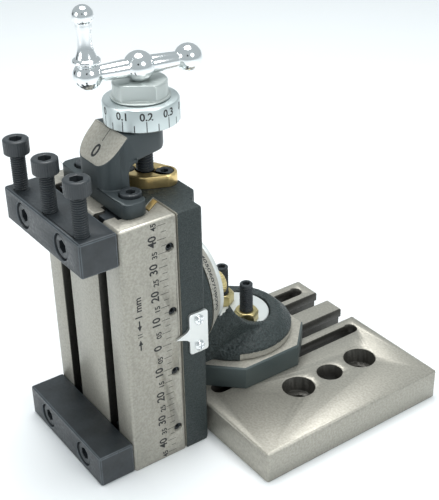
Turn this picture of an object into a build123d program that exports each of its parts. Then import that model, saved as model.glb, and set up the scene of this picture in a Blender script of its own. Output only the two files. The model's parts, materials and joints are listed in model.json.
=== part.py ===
from build123d import *
from math import cos, radians, sin, sqrt, tan
import os

# Vertical milling slide with clamp bars on a slotted base plate.
# Millimetres. +Z is up and +Y runs from the work table back to the base plate.
# The origin is on the underside of the base plate, on the axis of the vertical swivel.

# ---- base plate ----
plate_thick = 12.0
plate_front = 28.5          # swivel axis to the plate end that faces the saddle
plate_length = 80.0
plate_right = 57.5          # swivel axis to the drilled side
plate_left = 23.5
plate_edge_chamfer = 0.6
slot_offset = 7.7           # swivel axis to each open T-slot, and to each swivel stud
slot_width = 7.0
slot_lip = 4.0              # thickness of the lip over the undercut
slot_undercut = 1.2
slot_front_wall = 6.0       # plate end to the closed end of an open T-slot
relief_offset = 17.2        # swivel axis to each closed slot
relief_width = 5.5
relief_undercut = 0.8
relief_end_wall = 4.5
plate_hole_edge = 23.4      # drilled side to the row of holes
plate_hole_rear = 17.5      # rear end to the nearest hole
plate_hole_pitch = 15.0
plate_bolt_radius = 3.5
plate_cbore_radius = 6.1
plate_cbore_depth = 6.5
plate_middle_radius = 4.85

# ---- swivel block ----
block_half = 23.8
block_corner = 11.5
block_height = 9.0
spigot_radius = 11.4
spigot_clear = 0.08         # running fit of a spigot in its bore
clamp_seat = 0.2            # a spigot stops short, so that the disc clamps the knee
stud_radius = 2.5
stud_top = 45.0
stud_clear = 0.25
thread_clear = 0.05         # modelled gap of a screw in its threaded hole
disc_radius = 13.2
disc_thick = 2.2
disc_clear = 0.5            # disc to the wall of its pocket
disc_chamfer = 0.4
swivel_nut_flats = 8.0
swivel_nut_height = 4.5
t_nut_length = 12.0
t_nut_height = 5.0
t_nut_gap = 0.2
stud_socket_depth = 2.5

# ---- knee ----
knee_reach = 24.5           # vertical swivel axis to the tilt face
tilt_height = 50.0          # underside to the tilt axis
pad_radius = 22.0
pad_floor = 6.0             # thickness under a clamp disc
pad_depth = 8.5
pad_shoulder = 4.5
tilt_disc_radius = 17.0
tilt_pad_radius = 17.5      # rear end of the graduated cone round the tilt face
ring_low = 4.0              # tilt axis down to where the graduated cone ends at its front
heel_half = 12.0            # half width of the knee at its outer corner
gusset_radius = 26.0
skirt_height = 3.0          # machined band round the foot of the knee
skirt_step = 0.4
skirt_front = 11.0          # the band stops this far in front of the swivel axis

# ---- saddle ----
swivel_gap = 0.3
ring_height = 5.7
ring_radius = 22.0
saddle_thick = 9.7
saddle_half = 26.0
slide_height = 94.0
dovetail_root = 12.1        # half width of the dovetail where it joins the saddle
dovetail_height = 5.8
dovetail_angle = 55.0
rib_half = 15.0
rib_depth = 4.0
rib_flare = 5.0
casting_chamfer = 1.0
tilt_bolt_offset = 7.7
tilt_bolt_length = 18.0
hole_spare = 0.5            # a blind hole's depth past the end of its screw

# ---- work table ----
table_half = 25.9
table_thick = 21.2
slide_gap = 0.1
dovetail_clear = 0.1
pocket_gap = 0.3            # dovetail tip to the pocket floor
table_chamfer = 0.8
table_slot_offset = 13.0
table_slot_width = 6.0
table_slot_neck = 4.7
table_slot_wide = 10.4
table_slot_depth = 8.5
gib_thick = 2.4
gib_end_gap = 0.3
gib_screw_pitch = 24.0
gib_screw_depth = 3.2       # saddle's sliding face to the screw line
gib_screw_radius = 1.5
gib_screw_sink = 1.0
gib_point_radius = 0.8
gib_point_seat = 0.9
gib_dimple_gap = 0.1
gib_socket_depth = 1.5

# ---- feed screw and nut ----
feed_depth = 4.6            # saddle's sliding face to the feed screw axis
feed_radius = 3.0
feed_bore_clear = 0.7
feed_bottom = 31.0
feed_end_chamfer = 0.6
journal_radius = 2.5
running_clear = 0.06
nut_body_wall = 1.6
nut_body_length = 14.0
nut_flange_thick = 4.3
nut_flange_step = 2.0       # flange past the body
nut_ear_radius = 4.3
nut_screw_gap = 0.5         # feed screw to the head of each flange screw
nut_screw_depth = 8.0       # length of each flange screw inside the saddle
nut_chamfer = 0.4
screw_clear = 0.2           # plain hole round a screw's shank

# ---- feed bracket ----
foot_half = 21.0
foot_thick = 5.0
foot_front = 5.5            # table's work face to the foot
foot_depth = 8.8
foot_corner = 3.0
foot_screw_offset = 14.2
foot_screw_depth = 11.9     # table's work face to the foot screws
foot_screw_length = 11.0
foot_cbore_depth = 3.0
column_half = 10.0
column_corner = 6.0
arm_under = 12.6            # table top to the underside of the arm
arm_thick = 9.1
arm_end_radius = 6.5
arm_round = 3.5
index_slope = 45.0
index_top = 14.4            # table's work face to the top of the sloping index face

# ---- dial, collar and ball crank ----
dial_radius = 12.4
dial_height = 7.7
dial_gap = 0.3
dial_chamfer = 0.6
sleeve_radius = 6.0
collar_flange_radius = 9.7
collar_flange_thick = 0.5
collar_radius = 8.85
collar_flats = 14.0
collar_turn = -35.0         # degrees from the flats lying along Y
collar_chamfer = 0.5
collar_height = 5.0
hub_ball_radius = 5.0
hub_seat_radius = 2.9
crank_arm_length = 17.0
crank_turn = 8.2            # degrees from the Y axis
end_ball_radius = 4.6
crank_root_radius = 2.7
crank_tip_radius = 2.1
grip_gap = 0.3
grip_sink = 1.0             # top of an end ball cut away under the grip
grip_length = 18.0
grip_flange_radius = 4.4
grip_flange_height = 1.6
grip_flange_edge = 0.3
grip_waist_radius = 2.2
grip_waist_share = 0.42     # waist height over the grip's length
grip_bulb_radius = 3.3
grip_neck_angle = 37.0      # degrees below the bulb's centre where the waist meets it
grip_pin_radius = 1.25
grip_pin_length = 10.0
grip_pin_seat = 5.0         # length of the pin below the grip

# ---- clamp bars ----
bar_half = 25.5
bar_depth = 13.2
bar_height = 12.0
bar_chamfer = 0.5
bar_cbore_radius = 4.5
bar_cbore_depth = 5.5
bar_t_nut_length = 10.0
bar_t_nut_neck = 2.5
bar_bolt_gap = 0.3          # bolt's end to the bottom of the T-slot
clamp_pitch = 20.3
clamp_inset = 3.9           # bar's front face to the clamp screws
clamp_lifts = (12.8, 13.3, 14.0)    # left to right, head undersides above the bar at rest
clamp_length = 25.0

# ---- pointer ----
pointer_thick = 1.0
pointer_low = 39.8
pointer_high = 55.6
pointer_front = 7.4         # saddle's back face to the front edge of the pointer plate
pointer_neck_low = 45.0
pointer_neck_high = 50.4
pointer_reach = 12.7        # saddle's back face to the pointer's tip
pointer_tip_length = 2.6
pointer_screw_inset = 2.8
pointer_screw_radius = 1.0
pointer_hole_clear = 0.15
pointer_screw_back = 3.7
pointer_screw_length = 5.0
pointer_head_radius = 1.9
pointer_head_height = 1.1
pointer_head_round = 0.6
pointer_recess_radius = 0.6
pointer_recess_floor = 0.4

# ---- cap screws: shank radius, head radius, head height, socket across flats ----
cap_m3 = (1.5, 3.0, 3.0, 2.5)
cap_m4 = (2.0, 3.5, 4.0, 3.0)
cap_m5 = (2.5, 4.25, 5.0, 4.0)
cbore_clear = 0.4
socket_share = 0.55         # socket depth over head height
head_edge_share = 0.08      # head chamfer over head height
thread_lead_share = 0.2     # chamfer at a screw's end over its radius
nut_crown_share = 0.95      # a nut's flat top over its width across flats

# ---- planes worked out from the sizes above ----
block_top = plate_thick + block_height
knee_face = -knee_reach
tilt_z = tilt_height
ring_face = knee_face - swivel_gap
saddle_back = ring_face - ring_height
saddle_front = saddle_back - saddle_thick
table_back = saddle_front - slide_gap
table_front = table_back - table_thick
feed_y = saddle_front + feed_depth
nut_body_radius = feed_radius + nut_body_wall
nut_flange_radius = nut_body_radius + nut_flange_step
nut_screw_radius = feed_radius + nut_screw_gap + cap_m3[1]
flank = 1.0 / tan(radians(dovetail_angle))
dovetail_tip = saddle_front - dovetail_height
pocket_floor = dovetail_tip - pocket_gap
nut_flange_top = slide_height + nut_flange_thick
arm_low = slide_height + arm_under
arm_top = arm_low + arm_thick
dial_low = arm_top + dial_gap
dial_top = dial_low + dial_height
collar_low = dial_top + dial_gap
flats_low = collar_low + collar_flange_thick
collar_top = flats_low + collar_height
hub_z = collar_top + sqrt(hub_ball_radius ** 2 - hub_seat_radius ** 2)
crank_x = -crank_arm_length * sin(radians(crank_turn))
crank_y = -crank_arm_length * cos(radians(crank_turn))
grip_low = hub_z + end_ball_radius + grip_gap - grip_sink
grip_pin_low = grip_low - grip_pin_seat
bar_front = table_front - bar_depth
clamp_y = bar_front + clamp_inset


def slab(x0, x1, y0, y1, z0, z1):
    return Pos((x0 + x1) / 2, (y0 + y1) / 2, (z0 + z1) / 2) * Box(x1 - x0, y1 - y0, z1 - z0)


def rod_z(x, y, z0, z1, radius):
    return Pos(x, y, (z0 + z1) / 2) * Cylinder(radius, z1 - z0)


def rod_y(x, z, y0, y1, radius):
    return Pos(x, (y0 + y1) / 2, z) * Rot(90, 0, 0) * Cylinder(radius, y1 - y0)


def rod_x(y, z, x0, x1, radius):
    return Pos((x0 + x1) / 2, y, z) * Rot(0, 90, 0) * Cylinder(radius, x1 - x0)


def hex_z(x, y, z0, z1, across_flats):
    outline = Pos(x, y, z0) * RegularPolygon(across_flats / sqrt(3), 6)
    return extrude(outline, z1 - z0)


def plan_prism(outline, z0, z1):
    """A prism along Z from an outline drawn in the X-Y plane."""
    return extrude(Pos(0, 0, z0) * outline, z1 - z0)


def side_prism(points, x0, x1):
    """A prism along X from (y, z) points."""
    face = make_face(Polyline(*[(x0, y, z) for y, z in points], close=True))
    return extrude(face, x1 - x0, dir=(1, 0, 0))


def long_slot(x, y0, y1, width, z0, z1):
    """A slot along Y with round ends at y0 and y1."""
    outline = Pos(x, (y0 + y1) / 2) * Rectangle(width, y1 - y0 - width)
    outline += Pos(x, y0 + width / 2) * Circle(width / 2)
    outline += Pos(x, y1 - width / 2) * Circle(width / 2)
    return plan_prism(outline, z0, z1)


def cap_screw(size, length):
    """Socket cap screw along Z, head above z = 0 and shank below."""
    shank_radius, head_radius, head_height, socket = size
    head = rod_z(0, 0, 0, head_height, head_radius)
    head = chamfer(head.edges().sort_by(Axis.Z)[-1], head_height * head_edge_share)
    shank = rod_z(0, 0, -length, 0, shank_radius)
    shank = chamfer(shank.edges().sort_by(Axis.Z)[0], shank_radius * thread_lead_share)
    floor = head_height * (1 - socket_share)
    return head + shank - hex_z(0, 0, floor, head_height + 1, socket)


def hex_nut(across_flats, height, bore):
    """Hexagon nut on Z with its corners rounded off at the top."""
    nut = hex_z(0, 0, 0, height, across_flats)
    crown = nut_crown_share * across_flats / 2
    reach = height + across_flats / sqrt(3) - crown
    top = Pos(0, 0, height - reach / 2) * Cone(crown + reach, crown, reach)
    return (nut & top) - rod_z(0, 0, -1, height + 1, bore)


# ---- base plate and swivel block ----
def base_plate():
    plate_rear = plate_length - plate_front
    plate = slab(-plate_left, plate_right, -plate_front, plate_rear, 0, plate_thick)
    plate = chamfer(plate.edges().filter_by(Axis.Z), plate_edge_chamfer)
    plate = chamfer(plate.faces().sort_by(Axis.Z)[-1].edges(), plate_edge_chamfer)
    lip_low = plate_thick - slot_lip
    slot_end = slot_front_wall - plate_front
    open_end = plate_rear + slot_width
    for x in (-slot_offset, slot_offset):
        plate -= long_slot(x, slot_end, open_end, slot_width, -1, plate_thick + 1)
        wide = slot_width + 2 * slot_undercut
        plate -= long_slot(x, slot_end - slot_undercut, open_end, wide, -1, lip_low)
    for x in (-relief_offset, relief_offset):
        far = plate_rear - relief_end_wall
        plate -= long_slot(x, slot_end, far, relief_width, -1, plate_thick + 1)
        wide = relief_width + 2 * relief_undercut
        reach = relief_undercut
        plate -= long_slot(x, slot_end - reach, far + reach, wide, -1, lip_low)
    hole_x = plate_right - plate_hole_edge
    for step in range(3):
        y = plate_rear - plate_hole_rear - step * plate_hole_pitch
        if step == 1:
            plate -= rod_z(hole_x, y, -1, plate_thick + 1, plate_middle_radius)
        else:
            plate -= rod_z(hole_x, y, -1, plate_thick + 1, plate_bolt_radius)
            low = plate_thick - plate_cbore_depth
            plate -= rod_z(hole_x, y, low, plate_thick + 1, plate_cbore_radius)
    return plate


def base_block():
    block = slab(-block_half, block_half, -block_half, block_half, plate_thick, block_top)
    block = chamfer(block.edges().filter_by(Axis.Z), block_corner)
    block = chamfer(block.faces().sort_by(Axis.Z)[-1].edges(), plate_edge_chamfer)
    block += rod_z(0, 0, block_top, block_top + pad_floor - clamp_seat, spigot_radius)
    for x in (-slot_offset, slot_offset):
        block -= rod_z(x, 0, 0, block_top + pad_floor + 1, stud_radius + stud_clear)
    return block


def base_t_nuts():
    lip_low = plate_thick - slot_lip
    half = slot_width / 2 + slot_undercut - t_nut_gap
    nuts = []
    for x in (-slot_offset, slot_offset):
        nut_low = lip_low - t_nut_height
        nut = slab(x - half, x + half, -t_nut_length / 2, t_nut_length / 2, nut_low, lip_low)
        nut -= rod_z(x, 0, 0, plate_thick, stud_radius + thread_clear)
        nuts.append(nut)
    return nuts


def swivel_studs():
    studs = []
    for x in (-slot_offset, slot_offset):
        stud = rod_z(x, 0, plate_thick - slot_lip - t_nut_height, stud_top, stud_radius)
        stud = chamfer(stud.edges().sort_by(Axis.Z)[-1], stud_radius * thread_lead_share)
        studs.append(stud - hex_z(x, 0, stud_top - stud_socket_depth, stud_top + 1, stud_radius))
    return studs


def swivel_nuts():
    low = block_top + pad_floor + disc_thick
    nut = hex_nut(swivel_nut_flats, swivel_nut_height, stud_radius + thread_clear)
    return [Pos(x, 0, low) * nut for x in (-slot_offset, slot_offset)]


def clamp_disc(radius, offset, hole_radius):
    """Flat clamp disc on Z from z = 0, with two holes."""
    disc = rod_z(0, 0, 0, disc_thick, radius)
    disc = chamfer(disc.edges().sort_by(Axis.Z)[-1], disc_chamfer)
    for x in (-offset, offset):
        disc -= rod_z(x, 0, -1, disc_thick + 1, hole_radius)
    return disc


def swivel_disc():
    disc = clamp_disc(disc_radius, slot_offset, stud_radius + stud_clear)
    return Pos(0, 0, block_top + pad_floor) * disc


# ---- knee ----
def knee_pad():
    """Domed round pad on Z from z = 0."""
    pad = rod_z(0, 0, 0, pad_depth, pad_radius)
    pad = chamfer(pad.edges().sort_by(Axis.Z)[-1], pad_shoulder)
    return pad


def heel_outline(reach):
    """Round pad outline drawn out to a narrower heel at y = -reach."""
    heel = Pos(0, heel_half / 2 - reach) * Rectangle(2 * heel_half, heel_half)
    return make_hull(Circle(pad_radius).edges() + heel.edges())


def knee_casting():
    tilt_rise = tilt_z - block_top
    lying = Pos(0, 0, block_top) * knee_pad()
    cone = Cone(pad_radius, tilt_pad_radius, pad_floor)
    standing = Pos(0, knee_face + pad_floor / 2, tilt_z) * Rot(-90, 0, 0) * cone
    plan = plan_prism(heel_outline(knee_reach), block_top, tilt_z + pad_radius)
    front = extrude(Rot(90, 0, 0) * heel_outline(tilt_rise), -(knee_reach + pad_radius))
    front = Pos(0, knee_face, tilt_z) * front
    inner_y = knee_face + pad_depth
    inner_z = block_top + pad_depth
    corner_y = inner_y + gusset_radius
    corner_z = inner_z + gusset_radius
    top = tilt_z + pad_radius
    side = slab(-pad_radius, pad_radius, knee_face, corner_y, block_top, corner_z)
    side -= rod_x(corner_y, corner_z, -pad_radius - 1, pad_radius + 1, gusset_radius)
    side -= slab(-pad_radius - 1, pad_radius + 1, corner_y, corner_y + pad_radius, 0, top)
    seat_y = knee_face + pad_floor
    cone_cut = [
        (knee_face - 1, corner_z + 1),
        (knee_face - 1, tilt_z - ring_low),
        (knee_face, tilt_z - ring_low),
        (seat_y, corner_z),
        (seat_y, corner_z + 1),
    ]
    side -= side_prism(cone_cut, -pad_radius - 1, pad_radius + 1)
    gusset = plan & front & side
    knee = gusset + lying + standing
    knee -= rod_z(0, 0, block_top + pad_floor, tilt_z + pad_radius, disc_radius + disc_clear)
    knee -= rod_y(0, tilt_z, seat_y, pad_radius, tilt_disc_radius + disc_clear)
    knee -= rod_z(0, 0, 0, tilt_z, spigot_radius + spigot_clear)
    knee -= rod_y(0, tilt_z, knee_face - 1, 0, spigot_radius + spigot_clear)
    band_top = block_top + skirt_height
    band = rod_z(0, 0, block_top - 1, band_top, pad_radius + 1)
    band -= rod_z(0, 0, block_top - 2, band_top + 1, pad_radius - skirt_step)
    wide = pad_radius + 2
    return knee - (band & slab(-wide, wide, -skirt_front, wide, 0, band_top + 1))


# ---- saddle ----
def saddle_casting():
    saddle = slab(-saddle_half, saddle_half, saddle_front, saddle_back, 0, slide_height)
    back_edges = saddle.faces().sort_by(Axis.Y)[-1].edges()
    saddle = chamfer(back_edges, casting_chamfer)
    rib_back = saddle_back + rib_depth
    rib_points = [
        (-rib_half - rib_flare, saddle_back - 1),
        (-rib_half - rib_flare, saddle_back),
        (-rib_half, rib_back),
        (rib_half, rib_back),
        (rib_half + rib_flare, saddle_back),
        (rib_half + rib_flare, saddle_back - 1),
    ]
    rib = plan_prism(make_face(Polyline(*rib_points, close=True)), tilt_z, slide_height)
    saddle += rib
    saddle += rod_y(0, tilt_z, saddle_back - 1, ring_face, ring_radius)
    saddle += rod_y(0, tilt_z, ring_face - 1, knee_face + pad_floor - clamp_seat, spigot_radius)
    tip_half = dovetail_root + dovetail_height * flank
    male_points = [
        (-dovetail_root, saddle_front),
        (dovetail_root, saddle_front),
        (tip_half, dovetail_tip),
        (-tip_half, dovetail_tip),
    ]
    male = plan_prism(make_face(Polyline(*male_points, close=True)), 0, slide_height)
    saddle += male
    bore = feed_radius + feed_bore_clear
    saddle -= rod_z(0, feed_y, -1, slide_height + 1, bore)
    nut_bore = nut_body_radius + thread_clear
    nut_floor = slide_height - nut_body_length - hole_spare
    saddle -= rod_z(0, feed_y, nut_floor, slide_height + 1, nut_bore)
    screw_floor = slide_height - nut_screw_depth - hole_spare
    for x, y in nut_screw_places():
        saddle -= rod_z(x, y, screw_floor, slide_height + 1, cap_m3[0] + thread_clear)
    for x in (-tilt_bolt_offset, tilt_bolt_offset):
        deep = knee_face + pad_floor + disc_thick - tilt_bolt_length - hole_spare
        saddle -= rod_y(x, tilt_z, deep, 0, cap_m5[0] + thread_clear)
    for z in pointer_screw_heights():
        inner = saddle_half - pointer_screw_length - hole_spare
        y = saddle_back - pointer_screw_back
        saddle -= rod_x(y, z, inner, saddle_half + 1, pointer_screw_radius + thread_clear)
    return saddle


def tilt_disc():
    disc = clamp_disc(tilt_disc_radius, tilt_bolt_offset, cap_m5[0] + stud_clear)
    return Pos(0, knee_face + pad_floor, tilt_z) * Rot(-90, 0, 0) * disc


def tilt_bolts():
    y = knee_face + pad_floor + disc_thick
    bolt = Rot(-90, 0, 0) * cap_screw(cap_m5, tilt_bolt_length)
    return [Pos(x, y, tilt_z) * bolt for x in (-tilt_bolt_offset, tilt_bolt_offset)]


# ---- feed nut ----
def nut_screw_places():
    step = nut_screw_radius / sqrt(2)
    return [(step, feed_y + step), (-step, feed_y - step)]


def feed_nut():
    edges = (Pos(0, feed_y) * Circle(nut_flange_radius)).edges()
    for x, y in nut_screw_places():
        edges += (Pos(x, y) * Circle(nut_ear_radius)).edges()
    nut = plan_prism(make_hull(edges), slide_height, nut_flange_top)
    nut = chamfer(nut.faces().sort_by(Axis.Z)[-1].edges(), nut_chamfer)
    nut += rod_z(0, feed_y, slide_height - nut_body_length, slide_height + 1, nut_body_radius)
    nut -= rod_z(0, feed_y, 0, nut_flange_top + 1, feed_radius + running_clear)
    for x, y in nut_screw_places():
        nut -= rod_z(x, y, 0, nut_flange_top + 1, cap_m3[0] + screw_clear)
        low = nut_flange_top - cap_m3[2]
        nut -= rod_z(x, y, low, nut_flange_top + 1, cap_m3[1] + cbore_clear / 2)
    return nut


def feed_nut_screws():
    low = nut_flange_top - cap_m3[2]
    screw = cap_screw(cap_m3, low - slide_height + nut_screw_depth)
    return [Pos(x, y, low) * screw for x, y in nut_screw_places()]


# ---- pointer ----
def pointer_screw_heights():
    return (pointer_low + pointer_screw_inset, pointer_high - pointer_screw_inset)


def pointer_plate():
    front = saddle_back - pointer_front
    tip = saddle_back - pointer_reach
    middle = (pointer_neck_low + pointer_neck_high) / 2
    points = [
        (saddle_back, pointer_low),
        (saddle_back, pointer_high),
        (front, pointer_high),
        (front, pointer_neck_high),
        (tip + pointer_tip_length, pointer_neck_high),
        (tip, middle),
        (tip + pointer_tip_length, pointer_neck_low),
        (front, pointer_neck_low),
        (front, pointer_low),
    ]
    plate = side_prism(points, saddle_half, saddle_half + pointer_thick)
    y = saddle_back - pointer_screw_back
    hole = pointer_screw_radius + pointer_hole_clear
    for z in pointer_screw_heights():
        plate -= rod_x(y, z, saddle_half - 1, saddle_half + pointer_thick + 1, hole)
    return plate


def pointer_screws():
    screws = []
    y = saddle_back - pointer_screw_back
    outer = saddle_half + pointer_thick
    for z in pointer_screw_heights():
        head = rod_x(y, z, outer, outer + pointer_head_height, pointer_head_radius)
        head = fillet(head.edges().sort_by(Axis.X)[-1], pointer_head_round)
        shank = rod_x(y, z, saddle_half - pointer_screw_length, outer, pointer_screw_radius)
        floor = outer + pointer_recess_floor
        recess = rod_x(y, z, floor, outer + pointer_head_height + 1, pointer_recess_radius)
        screws.append(head + shank - recess)
    return screws


# ---- work table ----
def pocket_outer(depth):
    """X of the pocket's gib-side flank at a depth below the saddle's sliding face."""
    return dovetail_root + 2 * dovetail_clear + gib_thick + depth * flank


def gib_screw_heights():
    first = slide_height / 2 - 1.5 * gib_screw_pitch
    return [first + step * gib_screw_pitch for step in range(4)]


def work_table():
    table = slab(-table_half, table_half, table_front, table_back, 0, slide_height)
    table = chamfer(table.edges().filter_by(Axis.Z), table_chamfer)
    table = chamfer(table.faces().sort_by(Axis.Z)[-1].edges(), table_chamfer)
    for x in (-table_slot_offset, table_slot_offset):
        half = table_slot_width / 2
        wide = table_slot_wide / 2
        neck = table_front + table_slot_neck
        deep = table_front + table_slot_depth
        table -= slab(x - half, x + half, table_front - 1, deep, -1, slide_height + 1)
        table -= slab(x - wide, x + wide, neck, deep, -1, slide_height + 1)
    mouth = slide_gap - 1
    reach = saddle_front - pocket_floor
    plain = dovetail_root + dovetail_clear
    pocket_points = [
        (-plain - mouth * flank, saddle_front - mouth),
        (pocket_outer(mouth), saddle_front - mouth),
        (pocket_outer(reach), pocket_floor),
        (-plain - reach * flank, pocket_floor),
    ]
    pocket = make_face(Polyline(*pocket_points, close=True))
    table -= plan_prism(pocket, -1, slide_height + 1)
    y = saddle_front - gib_screw_depth
    for z in gib_screw_heights():
        table -= rod_x(y, z, dovetail_root, table_half + 1, gib_screw_radius + thread_clear)
    screw_y = table_front + foot_screw_depth
    floor = slide_height + foot_thick - foot_cbore_depth - foot_screw_length - hole_spare
    for x in (-foot_screw_offset, foot_screw_offset):
        table -= rod_z(x, screw_y, floor, slide_height + 1, cap_m4[0] + thread_clear)
    return table


def gib_strip():
    top = table_back - gib_end_gap
    low = pocket_floor + gib_end_gap
    inner = dovetail_root + dovetail_clear
    outer = inner + gib_thick
    points = [
        (inner + (saddle_front - top) * flank, top),
        (outer + (saddle_front - top) * flank, top),
        (outer + (saddle_front - low) * flank, low),
        (inner + (saddle_front - low) * flank, low),
    ]
    gib = plan_prism(make_face(Polyline(*points, close=True)), 0, slide_height)
    y = saddle_front - gib_screw_depth
    dimple = gib_point_end() - gib_dimple_gap
    for z in gib_screw_heights():
        gib -= rod_x(y, z, dimple, table_half, gib_point_radius + gib_dimple_gap)
    return gib


def gib_point_end():
    """X where a gib screw's point ends, inside the gib."""
    return pocket_outer(gib_screw_depth) - dovetail_clear - gib_point_seat


def gib_screws():
    screws = []
    y = saddle_front - gib_screw_depth
    shoulder = pocket_outer(gib_screw_depth + gib_screw_radius) + gib_dimple_gap
    outer = table_half - gib_screw_sink
    for z in gib_screw_heights():
        body = rod_x(y, z, shoulder, outer, gib_screw_radius)
        point = rod_x(y, z, gib_point_end(), shoulder, gib_point_radius)
        hexagon = hex_z(0, 0, -gib_socket_depth, 1, gib_screw_radius)
        socket = Pos(outer, y, z) * Rot(0, 90, 0) * hexagon
        screws.append(body + point - socket)
    return screws


# ---- feed bracket ----
def feed_bracket():
    foot_y = table_front + foot_front
    column_back = foot_y + foot_depth
    foot = slab(-foot_half, foot_half, foot_y, column_back, slide_height, slide_height + foot_thick)
    foot = fillet(foot.edges().filter_by(Axis.Z), foot_corner)
    column = slab(-column_half, column_half, foot_y, column_back, slide_height, arm_top)
    front_edges = column.edges().filter_by(Axis.Z).sort_by(Axis.Y)[:2]
    column = fillet(front_edges, column_corner)
    heel = Pos(0, column_back - 1) * Rectangle(2 * column_half, 2)
    nose = Pos(0, feed_y) * Circle(arm_end_radius)
    arm = plan_prism(make_hull(heel.edges() + nose.edges()), arm_low, arm_top)
    side = slab(-foot_half, foot_half, column_back - 2, feed_y + arm_end_radius, arm_low, arm_top)
    lower_back = side.edges().filter_by(Axis.X).group_by(Axis.Z)[0].sort_by(Axis.Y)[-1]
    arm = arm & fillet(lower_back, arm_round)
    web = side_prism(
        [
            (column_back - 1, arm_low - arm_round),
            (column_back, arm_low - arm_round),
            (column_back + arm_round, arm_low),
            (column_back + arm_round, arm_low + 1),
            (column_back - 1, arm_low + 1),
        ],
        -column_half,
        column_half,
    )
    web -= rod_x(column_back + arm_round, arm_low - arm_round, -foot_half, foot_half, arm_round)
    slope_y = table_front + index_top
    drop = slope_y - foot_y + 1
    fall = drop * tan(radians(index_slope))
    slope = side_prism(
        [(slope_y, arm_top), (slope_y, arm_top + 1), (foot_y - 1, arm_top + 1), (foot_y - 1, arm_top - fall)],
        -foot_half,
        foot_half,
    )
    bracket = foot + column + arm + web - slope
    bracket -= rod_z(0, feed_y, arm_low - 1, arm_top + 1, journal_radius + running_clear)
    for x in (-foot_screw_offset, foot_screw_offset):
        y = table_front + foot_screw_depth
        bracket -= rod_z(x, y, 0, slide_height + foot_thick + 1, cap_m4[0] + screw_clear)
        low = slide_height + foot_thick - foot_cbore_depth
        bracket -= rod_z(x, y, low, arm_low, cap_m4[1] + cbore_clear)
    return bracket


def bracket_screws():
    low = slide_height + foot_thick - foot_cbore_depth
    y = table_front + foot_screw_depth
    screw = cap_screw(cap_m4, foot_screw_length)
    return [Pos(x, y, low) * screw for x in (-foot_screw_offset, foot_screw_offset)]


# ---- feed screw, dial and crank ----
def feed_screw():
    screw = rod_z(0, feed_y, feed_bottom, arm_low - dial_gap, feed_radius)
    screw = chamfer(screw.edges().sort_by(Axis.Z)[0], feed_end_chamfer)
    return screw + rod_z(0, feed_y, arm_low - 1, hub_z, journal_radius)


def spindle_collar():
    collar = rod_z(0, feed_y, flats_low, collar_top, collar_radius)
    collar = chamfer(collar.edges().sort_by(Axis.Z)[-1], collar_chamfer)
    half = collar_flats / 2
    turned = slab(-half, half, -collar_radius, collar_radius, flats_low - 1, collar_top + 1)
    collar = collar & (Pos(0, feed_y, 0) * Rot(0, 0, collar_turn) * turned)
    collar += rod_z(0, feed_y, collar_low, flats_low, collar_flange_radius)
    collar += rod_z(0, feed_y, dial_low, collar_low, sleeve_radius)
    return collar - rod_z(0, feed_y, 0, collar_top + 1, journal_radius + thread_clear)


def feed_dial():
    dial = rod_z(0, feed_y, dial_low, dial_top, dial_radius)
    dial = chamfer(dial.edges().sort_by(Axis.Z)[-1], dial_chamfer)
    return dial - rod_z(0, feed_y, 0, dial_top + 1, sleeve_radius + running_clear)


def crank_arm():
    """Ball crank: three balls joined by tapered arms, lying along X before it is turned."""
    crank = Sphere(hub_ball_radius)
    for side in (-1, 1):
        taper = Cone(crank_root_radius, crank_tip_radius, crank_arm_length)
        crank += Pos(side * crank_arm_length / 2, 0, 0) * Rot(0, side * 90, 0) * taper
        crank += Pos(side * crank_arm_length, 0, 0) * Sphere(end_ball_radius)
    seat = hub_z - collar_top
    wide = 2 * hub_ball_radius
    crank -= slab(-wide, wide, -wide, wide, -wide, -seat)
    crank = Pos(0, feed_y, hub_z) * Rot(0, 0, 90 - crank_turn) * crank
    crank -= rod_z(0, feed_y, 0, hub_z + thread_clear, journal_radius + thread_clear)
    x = crank_x
    y = feed_y + crank_y
    crank -= rod_z(x, y, grip_low - grip_gap, grip_low + 1, grip_flange_radius)
    crank -= rod_z(x, y, grip_pin_low - hole_spare, grip_low, grip_pin_radius + thread_clear)
    return crank


def grip_profile():
    """Half section of the grip: flange, long waist and round bulb."""
    bulb_z = grip_length - grip_bulb_radius
    edge = grip_flange_radius - grip_flange_edge
    low = (grip_flange_radius, grip_flange_height)
    waist = (grip_waist_radius, grip_length * grip_waist_share)
    side = cos(radians(grip_neck_angle))
    drop = sin(radians(grip_neck_angle))
    neck = (grip_bulb_radius * side, bulb_z - grip_bulb_radius * drop)
    outline = Polyline((0, 0), (edge, 0), (grip_flange_radius, grip_flange_edge), low)
    outline += Spline(low, waist, neck, tangents=[(-0.6, 1), (drop, side)])
    outline += CenterArc((0, bulb_z), grip_bulb_radius, -grip_neck_angle, 90 + grip_neck_angle)
    outline += Line((0, grip_length), (0, 0))
    return make_face(outline)


def crank_grip():
    grip = revolve(Plane.XZ * grip_profile(), Axis.Z)
    bore_top = grip_pin_length - grip_pin_seat + grip_gap
    grip -= rod_z(0, 0, -1, bore_top, grip_pin_radius + running_clear)
    return Pos(crank_x, feed_y + crank_y, grip_low) * grip


def grip_pin():
    pin_top = grip_pin_low + grip_pin_length
    return rod_z(crank_x, feed_y + crank_y, grip_pin_low, pin_top, grip_pin_radius)


# ---- clamp bars ----
def clamp_bar(low, with_clamps):
    bar = slab(-bar_half, bar_half, bar_front, table_front, low, low + bar_height)
    bar = chamfer(bar.edges(), bar_chamfer)
    middle = low + bar_height / 2
    for x in (-table_slot_offset, table_slot_offset):
        bar -= rod_y(x, middle, bar_front - 1, table_front + 1, cap_m5[0] + stud_clear)
        bar -= rod_y(x, middle, bar_front - 1, bar_front + bar_cbore_depth, bar_cbore_radius)
    if with_clamps:
        for x in clamp_places():
            bar -= rod_z(x, clamp_y, low - 1, low + bar_height + 1, cap_m5[0] + running_clear)
    return bar


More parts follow.
